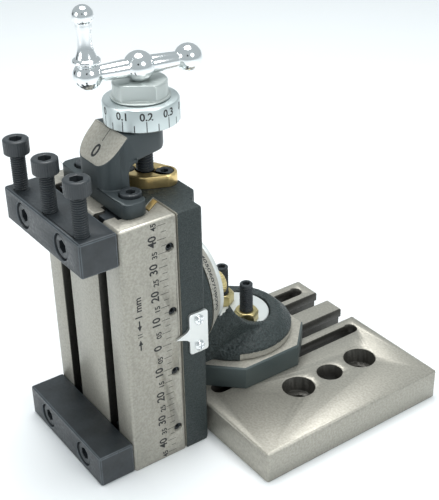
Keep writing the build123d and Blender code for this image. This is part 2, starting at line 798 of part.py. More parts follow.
def bar_bolts(low):
    length = bar_depth - bar_cbore_depth + table_slot_depth - bar_bolt_gap
    bolt = Rot(90, 0, 0) * cap_screw(cap_m5, length)
    y = bar_front + bar_cbore_depth
    z = low + bar_height / 2
    return [Pos(x, y, z) * bolt for x in (-table_slot_offset, table_slot_offset)]


def bar_t_nuts(low):
    nuts = []
    wide = table_slot_wide / 2 - t_nut_gap
    half = table_slot_width / 2 - t_nut_gap
    middle = low + bar_height / 2
    z0 = middle - bar_t_nut_length / 2
    z1 = middle + bar_t_nut_length / 2
    neck = table_front + table_slot_neck
    for x in (-table_slot_offset, table_slot_offset):
        deep = table_front + table_slot_depth - t_nut_gap
        nut = slab(x - wide, x + wide, neck, deep, z0, z1)
        nut += slab(x - half, x + half, neck - bar_t_nut_neck, neck + 1, z0, z1)
        nut -= rod_y(x, middle, table_front, deep + 1, cap_m5[0] + thread_clear)
        nuts.append(nut)
    return nuts


def clamp_places():
    return (-clamp_pitch, 0, clamp_pitch)


def clamp_screw(x, lift):
    screw = cap_screw(cap_m5, clamp_length)
    return Pos(x, clamp_y, slide_height + lift) * screw


def write(name, shape):
    solids = shape if isinstance(shape, list) else [shape]
    found = [solid for piece in solids for solid in piece.solids()]
    whole = found[0] if len(found) == 1 else Compound(children=found)
    export_step(whole, f"parts/{name}.step")


os.makedirs("parts", exist_ok=True)
write("base_plate", base_plate())
write("base_block", base_block())
write("base_t_nuts", base_t_nuts())
write("swivel_studs", swivel_studs())
write("swivel_nuts", swivel_nuts())
write("swivel_disc", swivel_disc())
write("knee_casting", knee_casting())
write("saddle_casting", saddle_casting())
write("tilt_disc", tilt_disc())
write("tilt_bolts", tilt_bolts())
write("feed_nut", feed_nut())
write("feed_nut_screws", feed_nut_screws())
write("pointer_plate", pointer_plate())
write("pointer_screws", pointer_screws())
write("work_table", work_table())
write("gib_strip", gib_strip())
write("gib_screws", gib_screws())
write("feed_bracket", feed_bracket())
write("bracket_screws", bracket_screws())
write("feed_screw", feed_screw())
write("spindle_collar", spindle_collar())
write("feed_dial", feed_dial())
write("crank_arm", crank_arm())
write("crank_grip", crank_grip())
write("grip_pin", grip_pin())
top_bar_low = slide_height - bar_height
write("top_bar", clamp_bar(top_bar_low, True))
write("top_bar_bolts", bar_bolts(top_bar_low))
write("top_bar_t_nuts", bar_t_nuts(top_bar_low))
write("bottom_bar", clamp_bar(0, False))
write("bottom_bar_bolts", bar_bolts(0))
write("bottom_bar_t_nuts", bar_t_nuts(0))
for side, place, lift in zip(("left", "middle", "right"), clamp_places(), clamp_lifts):
    write(f"clamp_screw_{side}", clamp_screw(place, lift))
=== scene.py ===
import json
from math import atan2, cos, hypot, pi, radians, sin, sqrt

import bmesh
import bpy
from bpy.props import FloatProperty, FloatVectorProperty, IntProperty, PointerProperty
from mathutils import Matrix, Vector, noise

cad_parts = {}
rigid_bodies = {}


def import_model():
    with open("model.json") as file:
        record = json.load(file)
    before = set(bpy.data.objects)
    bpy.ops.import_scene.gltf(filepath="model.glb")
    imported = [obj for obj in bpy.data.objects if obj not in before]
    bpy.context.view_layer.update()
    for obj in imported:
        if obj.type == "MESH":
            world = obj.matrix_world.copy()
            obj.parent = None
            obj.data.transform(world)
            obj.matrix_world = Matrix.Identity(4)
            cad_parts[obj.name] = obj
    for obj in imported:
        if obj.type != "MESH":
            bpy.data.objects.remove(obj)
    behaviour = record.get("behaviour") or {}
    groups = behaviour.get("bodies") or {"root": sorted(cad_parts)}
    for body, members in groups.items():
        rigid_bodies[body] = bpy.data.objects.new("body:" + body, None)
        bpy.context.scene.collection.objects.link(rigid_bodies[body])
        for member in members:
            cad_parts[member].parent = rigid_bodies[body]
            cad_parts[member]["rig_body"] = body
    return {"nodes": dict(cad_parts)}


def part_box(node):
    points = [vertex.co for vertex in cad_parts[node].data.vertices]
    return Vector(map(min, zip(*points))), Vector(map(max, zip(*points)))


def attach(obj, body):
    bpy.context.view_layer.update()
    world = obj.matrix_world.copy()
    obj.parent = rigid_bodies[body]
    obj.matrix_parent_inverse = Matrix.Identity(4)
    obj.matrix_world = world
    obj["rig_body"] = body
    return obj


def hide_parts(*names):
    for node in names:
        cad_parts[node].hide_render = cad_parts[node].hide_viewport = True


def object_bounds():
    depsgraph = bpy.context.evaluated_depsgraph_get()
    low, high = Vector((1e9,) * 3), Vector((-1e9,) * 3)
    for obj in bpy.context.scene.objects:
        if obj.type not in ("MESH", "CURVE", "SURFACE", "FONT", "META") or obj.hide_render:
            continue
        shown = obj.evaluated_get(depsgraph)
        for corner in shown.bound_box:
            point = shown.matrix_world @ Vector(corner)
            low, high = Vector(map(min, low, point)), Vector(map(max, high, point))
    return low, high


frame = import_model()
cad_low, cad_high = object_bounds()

bl_info = {
    "name": "Vertical milling slide",
    "version": (1, 0, 0),
    "blender": (4, 5, 0),
    "location": "3D View > Sidebar > Milling Slide",
    "description": "Castings, screws, scales and finishes of a small vertical milling slide",
    "category": "Object",
}

# Every length is in metres.
MM = 0.001
WELD = 0.002 * MM             # corners nearer than this are one corner

# Socket cap screws: thread radius, head radius, head height, socket across flats, thread pitch.
SCREW_M3 = (1.5 * MM, 3.0 * MM, 3.0 * MM, 2.5 * MM, 0.5 * MM)
SCREW_M4 = (2.0 * MM, 3.5 * MM, 4.0 * MM, 3.0 * MM, 0.7 * MM)
SCREW_M5 = (2.5 * MM, 4.25 * MM, 5.0 * MM, 4.0 * MM, 0.8 * MM)
FEED_PITCH = 1.0 * MM
DISC_CLEAR = 0.5 * MM         # gap between a clamp disc and the wall of its pocket
CRANK_BALL = 4.6 * MM         # radius of each end ball
CRANK_HUB = 5.0 * MM
CRANK_ROOT = 2.9 * MM         # radius of an arm at the hub
CRANK_TIP = 2.45 * MM         # radius of an arm at the end ball
TEXT_RISE = 0.70              # height of a figure as a share of its font size

# Directions that a screw's head can face.
HEAD_UP = Matrix.Identity(4)
HEAD_FRONT = Matrix.Rotation(radians(90), 4, "X")
HEAD_BACK = Matrix.Rotation(radians(-90), 4, "X")
HEAD_RIGHT = Matrix.Rotation(radians(90), 4, "Y")


# ---- sizes and colours that a user can change ----
def colour(name, description, default):
    return FloatVectorProperty(
        name=name, description=description, default=default, subtype="COLOR", size=3, min=0, max=1
    )


def length(name, description, default):
    return FloatProperty(
        name=name, description=description, default=default, min=0, unit="LENGTH", precision=5
    )


class SlideFinish(bpy.types.PropertyGroup):
    """Colours of the slide's paint, metals and figures."""

    casting: colour("Casting paint", "Hammered paint of the knee and the saddle", (0.027, 0.036, 0.036))
    bracket: colour("Bracket paint", "Smooth paint of the feed bracket", (0.022, 0.029, 0.031))
    block: colour("Block paint", "Paint on the sides of the swivel block", (0.020, 0.028, 0.027))
    ground: colour("Ground iron", "Ground faces of the table and the plate", (0.36, 0.345, 0.30))
    black: colour("Black oxide", "Clamp bars and the black screws", (0.026, 0.031, 0.035))
    brass: colour("Brass", "Feed nut and gib", (0.58, 0.36, 0.12))
    dial: colour("Satin dial", "Turned dial", (0.36, 0.42, 0.42))
    collar: colour("Turned steel", "Collar over the dial", (0.30, 0.37, 0.36))
    chrome: colour("Polished plating", "Ball crank and its grip", (0.86, 0.88, 0.89))
    yellow_zinc: colour("Yellow zinc", "Swivel nuts and tilt screws", (0.62, 0.52, 0.26))
    white_zinc: colour("Bright zinc", "Clamp discs", (0.60, 0.63, 0.62))
    sheet_steel: colour("Sheet steel", "Pointer", (0.22, 0.26, 0.25))
    figures: colour("Figures", "Black graduations and numbers", (0.012, 0.012, 0.013))


class SlideDetail(bpy.types.PropertyGroup):
    """Sizes of the details added to the frame."""

    edge_break: length("Edge break", "Width of the bevel on machined edges", 0.28 * MM)
    fine_break: length("Fine edge break", "Width of the bevel on small parts", 0.12 * MM)
    cast_round: length("Casting round", "Width of the bevel on cast edges", 0.75 * MM)
    cast_cell: length("Casting mesh", "Mesh size of the knee casting", 0.55 * MM)
    cast_wander: length("Casting wander", "How far the cast skin wanders from the true form", 0.14 * MM)
    figure_proud: length("Figure thickness", "How far the figures stand proud of a face", 0.02 * MM)
    tick_width: length("Tick width", "Width of a graduation line", 0.17 * MM)
    knurls: IntProperty(name="Knurls", description="Ridges round a screw head", default=36, min=12)
    dial_turn: FloatProperty(
        name="Dial reading", description="Turn of the dial's zero from the index", default=radians(-6),
        subtype="ANGLE",
    )


class SlideStage(bpy.types.PropertyGroup):
    """Floor, light and camera."""

    floor: colour("Floor", "Pale floor", (0.88, 0.90, 0.91))
    sky: colour("Room", "Light from all round", (0.88, 0.97, 1.0))
    sky_strength: FloatProperty(name="Room light", description="Strength of the room light", default=0.55)
    azimuth: FloatProperty(
        name="Azimuth", description="Camera direction round the slide", default=radians(54.91),
        subtype="ANGLE",
    )
    elevation: FloatProperty(
        name="Elevation", description="Camera height above the floor's level", default=radians(29.58),
        subtype="ANGLE",
    )
    roll: FloatProperty(
        name="Roll", description="Camera roll", default=radians(-1.12), subtype="ANGLE"
    )
    lens: FloatProperty(
        name="Focal length", description="Camera lens", default=72.52, subtype="DISTANCE_CAMERA"
    )


# ---- materials ----
class Finish:
    """A Principled material whose patterns all follow Object coordinates."""

    def __init__(self, name, metallic=0.0, roughness=0.5, **sockets):
        self.material = bpy.data.materials.new(name)
        self.material.use_nodes = True
        self.tree = self.material.node_tree
        self.shader = self.tree.nodes["Principled BSDF"]
        self.set("Metallic", metallic)
        self.set("Roughness", roughness)
        for socket, value in sockets.items():
            self.set(socket.replace("_", " "), value)
        self.normal = None

    def set(self, socket, value):
        self.shader.inputs[socket].default_value = value

    def node(self, kind, **values):
        made = self.tree.nodes.new(kind)
        for key, value in values.items():
            made.inputs[key.replace("_", " ")].default_value = value
        return made

    def coordinates(self, stretch=(1, 1, 1)):
        place = self.node("ShaderNodeTexCoord")
        mapping = self.node("ShaderNodeMapping", Scale=stretch)
        self.tree.links.new(place.outputs["Object"], mapping.inputs["Vector"])
        return mapping.outputs["Vector"]

    def grain(self, size, detail=3.0, stretch=(1, 1, 1)):
        """Soft noise with patches of about the given size."""
        made = self.node("ShaderNodeTexNoise", Scale=1 / size, Detail=detail)
        self.tree.links.new(self.coordinates(stretch), made.inputs["Vector"])
        return made.outputs["Fac"]

    def cells(self, size):
        """Distance to the middle of rounded cells of about the given size."""
        made = self.node("ShaderNodeTexVoronoi", Scale=1 / size)
        made.feature = "SMOOTH_F1"
        self.tree.links.new(self.coordinates(), made.inputs["Vector"])
        return made.outputs["Distance"]

    def spread(self, factor, low, high, start=0.3, end=0.7):
        """Maps a pattern onto the numbers from low to high."""
        made = self.node("ShaderNodeMapRange", From_Min=start, From_Max=end, To_Min=low, To_Max=high)
        self.tree.links.new(factor, made.inputs["Value"])
        return made.outputs["Result"]

    def tint(self, factor, base, low, high, start=0.3, end=0.7):
        """Base colour from low to high times the given colour."""
        ramp = self.node("ShaderNodeValToRGB")
        first, last = ramp.color_ramp.elements
        first.position = start
        last.position = end
        first.color = [*(min(part * low, 1) for part in base), 1]
        last.color = [*(min(part * high, 1) for part in base), 1]
        self.tree.links.new(factor, ramp.inputs["Fac"])
        self.tree.links.new(ramp.outputs["Color"], self.shader.inputs["Base Color"])
        return self

    def gloss(self, factor, smooth, rough):
        self.tree.links.new(self.spread(factor, smooth, rough), self.shader.inputs["Roughness"])
        return self

    def relief(self, factor, depth, strength=1.0):
        """Bumps of the given depth, added to any that are there."""
        bump = self.node("ShaderNodeBump", Distance=depth, Strength=strength)
        self.tree.links.new(factor, bump.inputs["Height"])
        if self.normal:
            self.tree.links.new(self.normal, bump.inputs["Normal"])
        self.normal = bump.outputs["Normal"]
        self.tree.links.new(self.normal, self.shader.inputs["Normal"])
        return self


def hammered_paint(name, base, lump, depth, rough=0.5):
    """Thick paint over a rough casting."""
    made = Finish(name, roughness=rough, Specular_IOR_Level=0.35)
    made.tint(made.grain(0.6 * lump, 4), base, 0.62, 1.5, 0.36, 0.64)
    made.gloss(made.grain(1.2 * MM), rough - 0.12, rough + 0.12)
    made.relief(made.cells(lump), depth)
    made.relief(made.grain(0.45 * lump, 2), 0.4 * depth)
    return made.material


def ground_metal(name, base, lines=(1, 1, 0.02), rough=0.42, metallic=0.5):
    """Surface-ground metal: fine lines along one direction and soft stains."""
    made = Finish(name, metallic=metallic, roughness=rough)
    made.tint(made.grain(0.8 * MM, 6), base, 0.88, 1.12, 0.36, 0.64)
    fine = made.grain(0.16 * MM, 2, lines)
    made.gloss(made.grain(0.9 * MM, 4), rough - 0.04, rough + 0.08)
    made.relief(fine, 0.006 * MM, 0.5)
    return made.material


def turned_metal(name, base, rough=0.34, metallic=0.85, pitch=0.12 * MM):
    """Turned metal: rings at even heights."""
    made = Finish(name, metallic=metallic, roughness=rough)
    made.tint(made.grain(5 * MM, 5), base, 0.90, 1.08)
    made.gloss(made.grain(1.5 * MM, 4), rough - 0.05, rough + 0.08)
    made.relief(made.grain(pitch, 1, (0.01, 0.01, 1)), 0.004 * MM, 0.5)
    return made.material


def plated(name, base, rough, metallic=1.0, flecks=0.05):
    """Bright plating with faint handling marks."""
    made = Finish(name, metallic=metallic, roughness=rough)
    made.tint(made.grain(6 * MM, 4), base, 0.94, 1.03)
    made.gloss(made.grain(2.5 * MM, 6), rough, rough + flecks)
    made.relief(made.grain(1.8 * MM, 2), 0.004 * MM, 0.3)
    return made.material


def blackened(name, base, rough=0.42, grain=0.35 * MM):
    """Black oxide over milled steel, a little worn."""
    made = Finish(name, roughness=rough)
    made.tint(made.grain(5 * MM, 7), base, 0.8, 1.3)
    made.gloss(made.grain(1.1 * MM, 5), rough - 0.08, rough + 0.12)
    made.relief(made.grain(grain, 3), 0.006 * MM, 0.7)
    return made.material


def ink(name, base):
    """Black filling of the engraved figures."""
    made = Finish(name, roughness=0.6)
    made.tint(made.grain(0.8 * MM, 3), base, 0.7, 1.8)
    made.relief(made.grain(0.2 * MM, 2), 0.004 * MM, 0.4)
    return made.material


def finishes(scene):
    """Each finish by its name, made once."""
    sizes = scene.slide_finish
    found = {made.name: made for made in bpy.data.materials}
    makers = {
        "knee_paint": lambda name: hammered_paint(name, sizes.casting, 0.9 * MM, 0.40 * MM),
        "saddle_paint": lambda name: hammered_paint(name, sizes.casting, 0.7 * MM, 0.16 * MM, 0.55),
        "bracket_paint": lambda name: hammered_paint(name, sizes.bracket, 0.6 * MM, 0.08 * MM, 0.5),
        "block_paint": lambda name: hammered_paint(name, sizes.block, 1.1 * MM, 0.06 * MM, 0.42),
        "table_iron": lambda name: ground_metal(name, sizes.ground),
        "plate_iron": lambda name: ground_metal(name, sizes.ground, (1, 0.02, 1)),
        # A lighter copy of the ground iron: a painted highlight on the table's top chamfer, and the colour
        # of the saddle's light index line.
        "bright_edge": lambda name: ground_metal(name, [1.45 * part for part in sizes.ground], rough=0.40),
        "machined_cast": lambda name: ground_metal(name, sizes.ground, (0.2, 0.2, 0.2), 0.55, 0.3),
        "bar_black": lambda name: blackened(name, sizes.black),
        # A lighter, glossier copy of the black oxide: a painted highlight on the bevelled edges of the
        # clamp bars.
        "bar_edge": lambda name: blackened(name, [2.6 * part for part in sizes.black], 0.34),
        "screw_black": lambda name: blackened(name, sizes.black, 0.36, 0.2 * MM),
        "brass": lambda name: turned_metal(name, sizes.brass, 0.30, 1.0),
        "dial_satin": lambda name: turned_metal(name, sizes.dial, 0.45, 0.45),
        "collar_steel": lambda name: turned_metal(name, sizes.collar, 0.30, 0.9),
        "polished_chrome": lambda name: plated(name, sizes.chrome, 0.03),
        "yellow_zinc": lambda name: plated(name, sizes.yellow_zinc, 0.26, 1.0, 0.12),
        "white_zinc": lambda name: plated(name, sizes.white_zinc, 0.42, 0.3, 0.1),
        "pointer_steel": lambda name: plated(name, sizes.sheet_steel, 0.42, 0.6, 0.12),
        # A much darker copy of the ground iron: painted shade on the walls of the slots and holes.
        "slot_iron": lambda name: ground_metal(name, [0.16 * part for part in sizes.ground]),
        "bright_screw": lambda name: plated(name, sizes.chrome, 0.16, 1.0, 0.1),
        "figure_ink": lambda name: ink(name, sizes.figures),
    }
    for name, make in makers.items():
        if name not in found:
            found[name] = make(name)
    return found


# ---- mesh helpers ----
def node_mesh(node):
    """A CAD node's mesh with its loose triangles joined."""
    bm = bmesh.new()
    bm.from_mesh(frame["nodes"][node].data)
    bmesh.ops.remove_doubles(bm, verts=bm.verts, dist=WELD)
    return bm


def solids_of(node):
    """Lowest and highest corner of each separate solid in a CAD node."""
    bm = node_mesh(node)
    left = set(bm.verts)
    boxes = []
    while left:
        reached = [left.pop()]
        for vert in reached:
            near = {edge.other_vert(vert) for edge in vert.link_edges} & left
            left -= near
            reached.extend(near)
        low = Vector([min(vert.co[axis] for vert in reached) for axis in range(3)])
        high = Vector([max(vert.co[axis] for vert in reached) for axis in range(3)])
        boxes.append((low, high))
    bm.free()
    return boxes


def half_width(node):
    """Half of a CAD node's width, which is the radius of a round one."""
    low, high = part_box(node)
    return (high.x - low.x) / 2


def tilt_z():
    """Height of the tilt axis."""
    return sum(corner.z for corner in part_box("tilt_disc")) / 2


def to_tilt_axis(point, axis_z):
    """Direction from a point straight to the tilt axis."""
    return Vector((-point.x, 0, axis_z - point.z)).normalized()


def add_part(bm, part, place=Matrix.Identity(4)):
    """Moves a bmesh into place and adds it to another."""
    bmesh.ops.transform(part, matrix=place, verts=part.verts)
    mesh = bpy.data.meshes.new("part")
    part.to_mesh(mesh)
    part.free()
    bm.from_mesh(mesh)
    bpy.data.meshes.remove(mesh)


def piece(name, bm, node, materials, stands_for=True, smooth=True):
    """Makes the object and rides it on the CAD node's body."""
    bmesh.ops.recalc_face_normals(bm, faces=bm.faces)
    for face in bm.faces:
        face.smooth = smooth
    mesh = bpy.data.meshes.new(name)
    bm.to_mesh(mesh)
    bm.free()
    for material in materials:
        mesh.materials.append(material)
    made = bpy.data.objects.new(name, mesh)
    bpy.context.scene.collection.objects.link(made)
    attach(made, frame["nodes"][node]["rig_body"])
    if stands_for:
        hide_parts(node)
    return made


def crisp(made, angle=30):
    """Keeps edges sharper than the angle, in degrees, from being shaded smooth."""
    bm = bmesh.new()
    bm.from_mesh(made.data)
    for edge in bm.edges:
        edge.smooth = len(edge.link_faces) == 2 and edge.calc_face_angle() < radians(angle)
    bm.to_mesh(made.data)
    bm.free()
    return made


def break_edges(made, width, edge_material=-1, segments=2):
    """Rounds a piece's sharp edges."""
    bevel = made.modifiers.new("Edges", "BEVEL")
    bevel.width = width
    bevel.segments = segments
    bevel.limit_method = "ANGLE"
    bevel.angle_limit = radians(32)
    bevel.use_clamp_overlap = False
    bevel.harden_normals = True
    bevel.material = edge_material
    return made


def dressed_copy(name, node, width, materials, machined=None, edge_material=-1, segments=2):
    """A CAD node with rounded edges. Faces that machined(face) picks take the second material."""
    bm = node_mesh(node)
    bmesh.ops.dissolve_limit(bm, angle_limit=radians(0.4), verts=bm.verts, edges=bm.edges)
    if machined:
        for face in bm.faces:
            face.material_index = int(machined(face))
    made = piece(name, bm, node, materials)
    return break_edges(made, width, edge_material, segments)


def turned(profile, steps=96, axis=(0, 0, 1)):
    """Spins points (x, y, z) of a half section round an axis through the origin."""
    bm = bmesh.new()
    verts = [bm.verts.new(point) for point in profile]
    edges = [bm.edges.new(pair) for pair in zip(verts, verts[1:])]
    bmesh.ops.spin(
        bm, geom=verts + edges, cent=(0, 0, 0), axis=axis, angle=2 * pi, steps=steps, use_merge=True
    )
    bmesh.ops.remove_doubles(bm, verts=bm.verts, dist=WELD)
    bmesh.ops.recalc_face_normals(bm, faces=bm.faces)
    return bm


def half_section(points):
    """Points (radius, height) as a half section in the X-Z plane."""
    return [(radius, 0, height) for radius, height in points]


def arc(centre, radius, start, end, count):
    """Points (radius, height) along an arc; angles in degrees from the radial direction."""
    turns = [radians(start + (end - start) * step / count) for step in range(count + 1)]
    return [(centre[0] + radius * cos(turn), centre[1] + radius * sin(turn)) for turn in turns]


def rings(sections, count):
    """A closed solid on Z through (height, radius); a radius may be a function of the turn."""
    bm = bmesh.new()
    bmesh.ops.create_circle(bm, cap_ends=True, radius=1, segments=count)
    bm.faces.ensure_lookup_table()
    face = bm.faces[0]
    for index, (height, radius) in enumerate(sections):
        if index:
            last = face
            grown = bmesh.ops.extrude_face_region(bm, geom=[face])["geom"]
            face = next(item for item in grown if isinstance(item, bmesh.types.BMFace))
            if index > 1:
                bmesh.ops.delete(bm, geom=[last], context="FACES_ONLY")
        for vert in face.verts:
            turn = atan2(vert.co.y, vert.co.x)
            reach = radius(turn) if callable(radius) else radius
            vert.co = (reach * cos(turn), reach * sin(turn), height)
    bmesh.ops.recalc_face_normals(bm, faces=bm.faces)
    return bm


def hexagon(across_flats):
    """Radius of a hexagon by turn."""
    return lambda turn: across_flats / 2 / cos((turn + pi / 6) % (pi / 3) - pi / 6)


def knurled(radius, ridges):
    """Radius of a knurled round by turn."""
    return lambda turn: radius * (0.988 + 0.012 * cos(ridges * turn))


def cross(span, width):
    """Radius of a cross by turn."""
    def reach(turn):
        along = abs(cos(turn)) + 1e-6
        across = abs(sin(turn)) + 1e-6
        return max(min(span / along, width / across), min(width / along, span / across))
    return reach


def thread(radius, pitch, low, high, steps=18):
    """A helical thread on Z, closed at both ends."""
    bm = bmesh.new()
    root = radius - 0.55 * pitch
    profile = [(root, 0), (radius, 0.42), (radius, 0.58), (root, 1)]
    verts = [bm.verts.new((reach, 0, low + rise * pitch)) for reach, rise in profile]
    edges = [bm.edges.new(pair) for pair in zip(verts, verts[1:])]
    turns = int((high - low) / pitch) - 1
    bmesh.ops.spin(
        bm, geom=verts + edges, cent=(0, 0, 0), axis=(0, 0, 1), dvec=(0, 0, pitch / steps),
        angle=2 * pi * turns, steps=steps * turns, use_merge=False,
    )
    bmesh.ops.remove_doubles(bm, verts=bm.verts, dist=0.02 * pitch)
    bmesh.ops.holes_fill(bm, edges=bm.edges, sides=0)
    bmesh.ops.recalc_face_normals(bm, faces=bm.faces)
    return bm


def threaded_rod(radius, pitch, low, high, threaded_low, threaded_high):
    """A rod on Z with a thread over part of its length and a bevelled lower end."""
    core = radius - 0.5 * pitch
    bm = rings([(low, core - 0.6 * pitch), (low + 0.6 * pitch, core), (high, core)], 24)
    add_part(bm, thread(radius, pitch, threaded_low, threaded_high))
    return bm


def cap_screw(size, span, knurls, plain=0.0):
    """Socket cap screw: head above z = 0, threaded shank of the given length below."""
    radius, head_radius, head_height, socket, pitch = size
    edge = 0.09 * head_height
    rim = socket / sqrt(3) + edge
    bm = rings(
        [
            (0, head_radius - 0.3 * edge),
            (0.3 * edge, knurled(head_radius, knurls)),
            (head_height - edge, knurled(head_radius, knurls)),
            (head_height - 0.3 * edge, head_radius - 0.7 * edge),
            (head_height, head_radius - 1.4 * edge),
            (head_height, rim),
            (head_height - 0.5 * edge, hexagon(socket)),
            (0.45 * head_height, hexagon(socket)),
        ],
        2 * knurls,
    )
    shank = threaded_rod(radius, pitch, -span, 0.3 * head_height, -span + 0.4 * pitch, -plain)
    add_part(bm, shank)
    if plain:
        add_part(bm, rings([(-plain - 0.1 * pitch, radius), (0.2 * head_height, radius)], 24))
    return bm


def screws(name, node, size, facing, detail, material):
    """A cap screw in place of each solid of a CAD node."""
    head_height = size[2]
    reach = facing.to_3x3() @ Vector((0, 0, 1))
    bm = bmesh.new()
    for low, high in solids_of(node):
        middle = (low + high) / 2
        half = abs(reach.dot(high - low)) / 2
        seat = middle + reach * (half - head_height)
        part = cap_screw(size, 2 * half - head_height, detail.knurls)
        add_part(bm, part, Matrix.Translation(seat) @ facing)
    return crisp(piece(name, bm, node, [material]))


# ---- figures ----
def flat_text(text, height, weight=0.03):
    """Solid text in the X-Y plane, centred on x = 0 with its foot on y = 0."""
    curve = bpy.data.curves.new("text", "FONT")
    curve.body = text
    curve.size = height / TEXT_RISE
    curve.align_x = "CENTER"
    curve.extrude = 0.5
    curve.offset = weight * height
    curve.resolution_u = 3
    writing = bpy.data.objects.new("text", curve)
    bpy.context.scene.collection.objects.link(writing)
    bpy.context.view_layer.update()
    shown = writing.evaluated_get(bpy.context.evaluated_depsgraph_get())
    mesh = bpy.data.meshes.new_from_object(shown)
    bm = bmesh.new()
    bm.from_mesh(mesh)
    bmesh.ops.remove_doubles(bm, verts=bm.verts, dist=WELD)
    bpy.data.objects.remove(writing)
    bpy.data.meshes.remove(mesh)
    return bm


def add_figure(bm, text, height, right, up, proud, surface):
    """Text whose foot is centred at (right, up) on a surface."""
    part = flat_text(text, height)
    for vert in part.verts:
        vert.co = surface(right + vert.co.x, up + vert.co.y, proud if vert.co.z > 0 else -2 * proud)
    add_part(bm, part)


def add_bar_mark(bm, right, up, wide, tall, proud, surface):
    """A thin upright bar with its foot centred at (right, up) on a surface."""
    part = bmesh.new()
    bmesh.ops.create_cube(part, size=1)
    for vert in part.verts:
        depth = proud if vert.co.z > 0 else -2 * proud
        vert.co = surface(right + wide * vert.co.x, up + tall * (vert.co.y + 0.5), depth)
    add_part(bm, part)


# ---- operators: one for each piece or group of like pieces ----
class SlideOperator:
    """What every operator of this add-on shares."""

    bl_options = {"REGISTER", "UNDO"}

    def execute(self, context):
        detail = context.scene.slide_detail
        self.build(detail, finishes(context.scene))
        return {"FINISHED"}


class SLIDE_OT_base_plate(SlideOperator, bpy.types.Operator):
    """Slotted and drilled base plate with ground faces"""

    bl_idname = "slide.base_plate"
    bl_label = "Base plate"

    def build(self, detail, finish):
        low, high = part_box("base_plate")

        def inside(face):
            """Walls of the slots and holes, which take the painted shade."""
            centre = face.calc_center_median()
            depth = min(centre.x - low.x, high.x - centre.x, centre.y - low.y, high.y - centre.y)
            return depth > 0.8 * MM and low.z + 0.3 * MM < centre.z < high.z - 0.7 * MM

        materials = [finish["plate_iron"], finish["slot_iron"]]
        dressed_copy("ground_base_plate", "base_plate", detail.edge_break, materials, inside, -1, 1)


class SLIDE_OT_swivel_block(SlideOperator, bpy.types.Operator):
    """Swivel block with painted sides and a machined top, and its T-nuts"""

    bl_idname = "slide.swivel_block"
    bl_label = "Swivel block"

    def build(self, detail, finish):
        materials = [finish["block_paint"], finish["machined_cast"]]
        width = detail.edge_break
        dressed_copy("swivel_block", "base_block", width, materials, lambda face: face.normal.z > 0.9)
        black = [finish["screw_black"]]
        dressed_copy("swivel_t_nuts", "base_t_nuts", detail.fine_break, black)


class SLIDE_OT_swivel_clamp(SlideOperator, bpy.types.Operator):
    """Threaded studs, nuts and disc that clamp the knee"""

    bl_idname = "slide.swivel_clamp"
    bl_label = "Swivel clamp"

    def build(self, detail, finish):
        radius, _, _, _, pitch = SCREW_M5
        bm = bmesh.new()
        for low, high in solids_of("swivel_studs"):
            tall = high.z - low.z
            lead = 1.2 * pitch
            point = 2.2 * radius
            part = rings(
                [
                    (0, radius - 0.7 * pitch),
                    (0.4 * pitch, radius - 0.5 * pitch),
                    (tall - lead, radius - 0.5 * pitch),
                    (tall - lead, radius - 0.08 * MM),
                    (tall - 0.3 * MM, radius - 0.08 * MM),
                    (tall, radius - 0.4 * MM),
                    (tall, 0.62 * radius),
                    (tall - 0.2 * MM, hexagon(radius)),
                    (tall - radius, hexagon(radius)),
                ],
                36,
            )
            add_part(part, thread(radius, pitch, 0.4 * pitch, tall - lead + 0.4 * pitch))
            middle = (low + high) / 2
            add_part(bm, part, Matrix.Translation((middle.x, middle.y, low.z)))
        crisp(piece("threaded_swivel_studs", bm, "swivel_studs", [finish["screw_black"]]))
        zinc = [finish["yellow_zinc"]]
        dressed_copy("swivel_hex_nuts", "swivel_nuts", detail.fine_break, zinc)
        dressed_copy("swivel_clamp_disc", "swivel_disc", detail.fine_break, [finish["white_zinc"]])


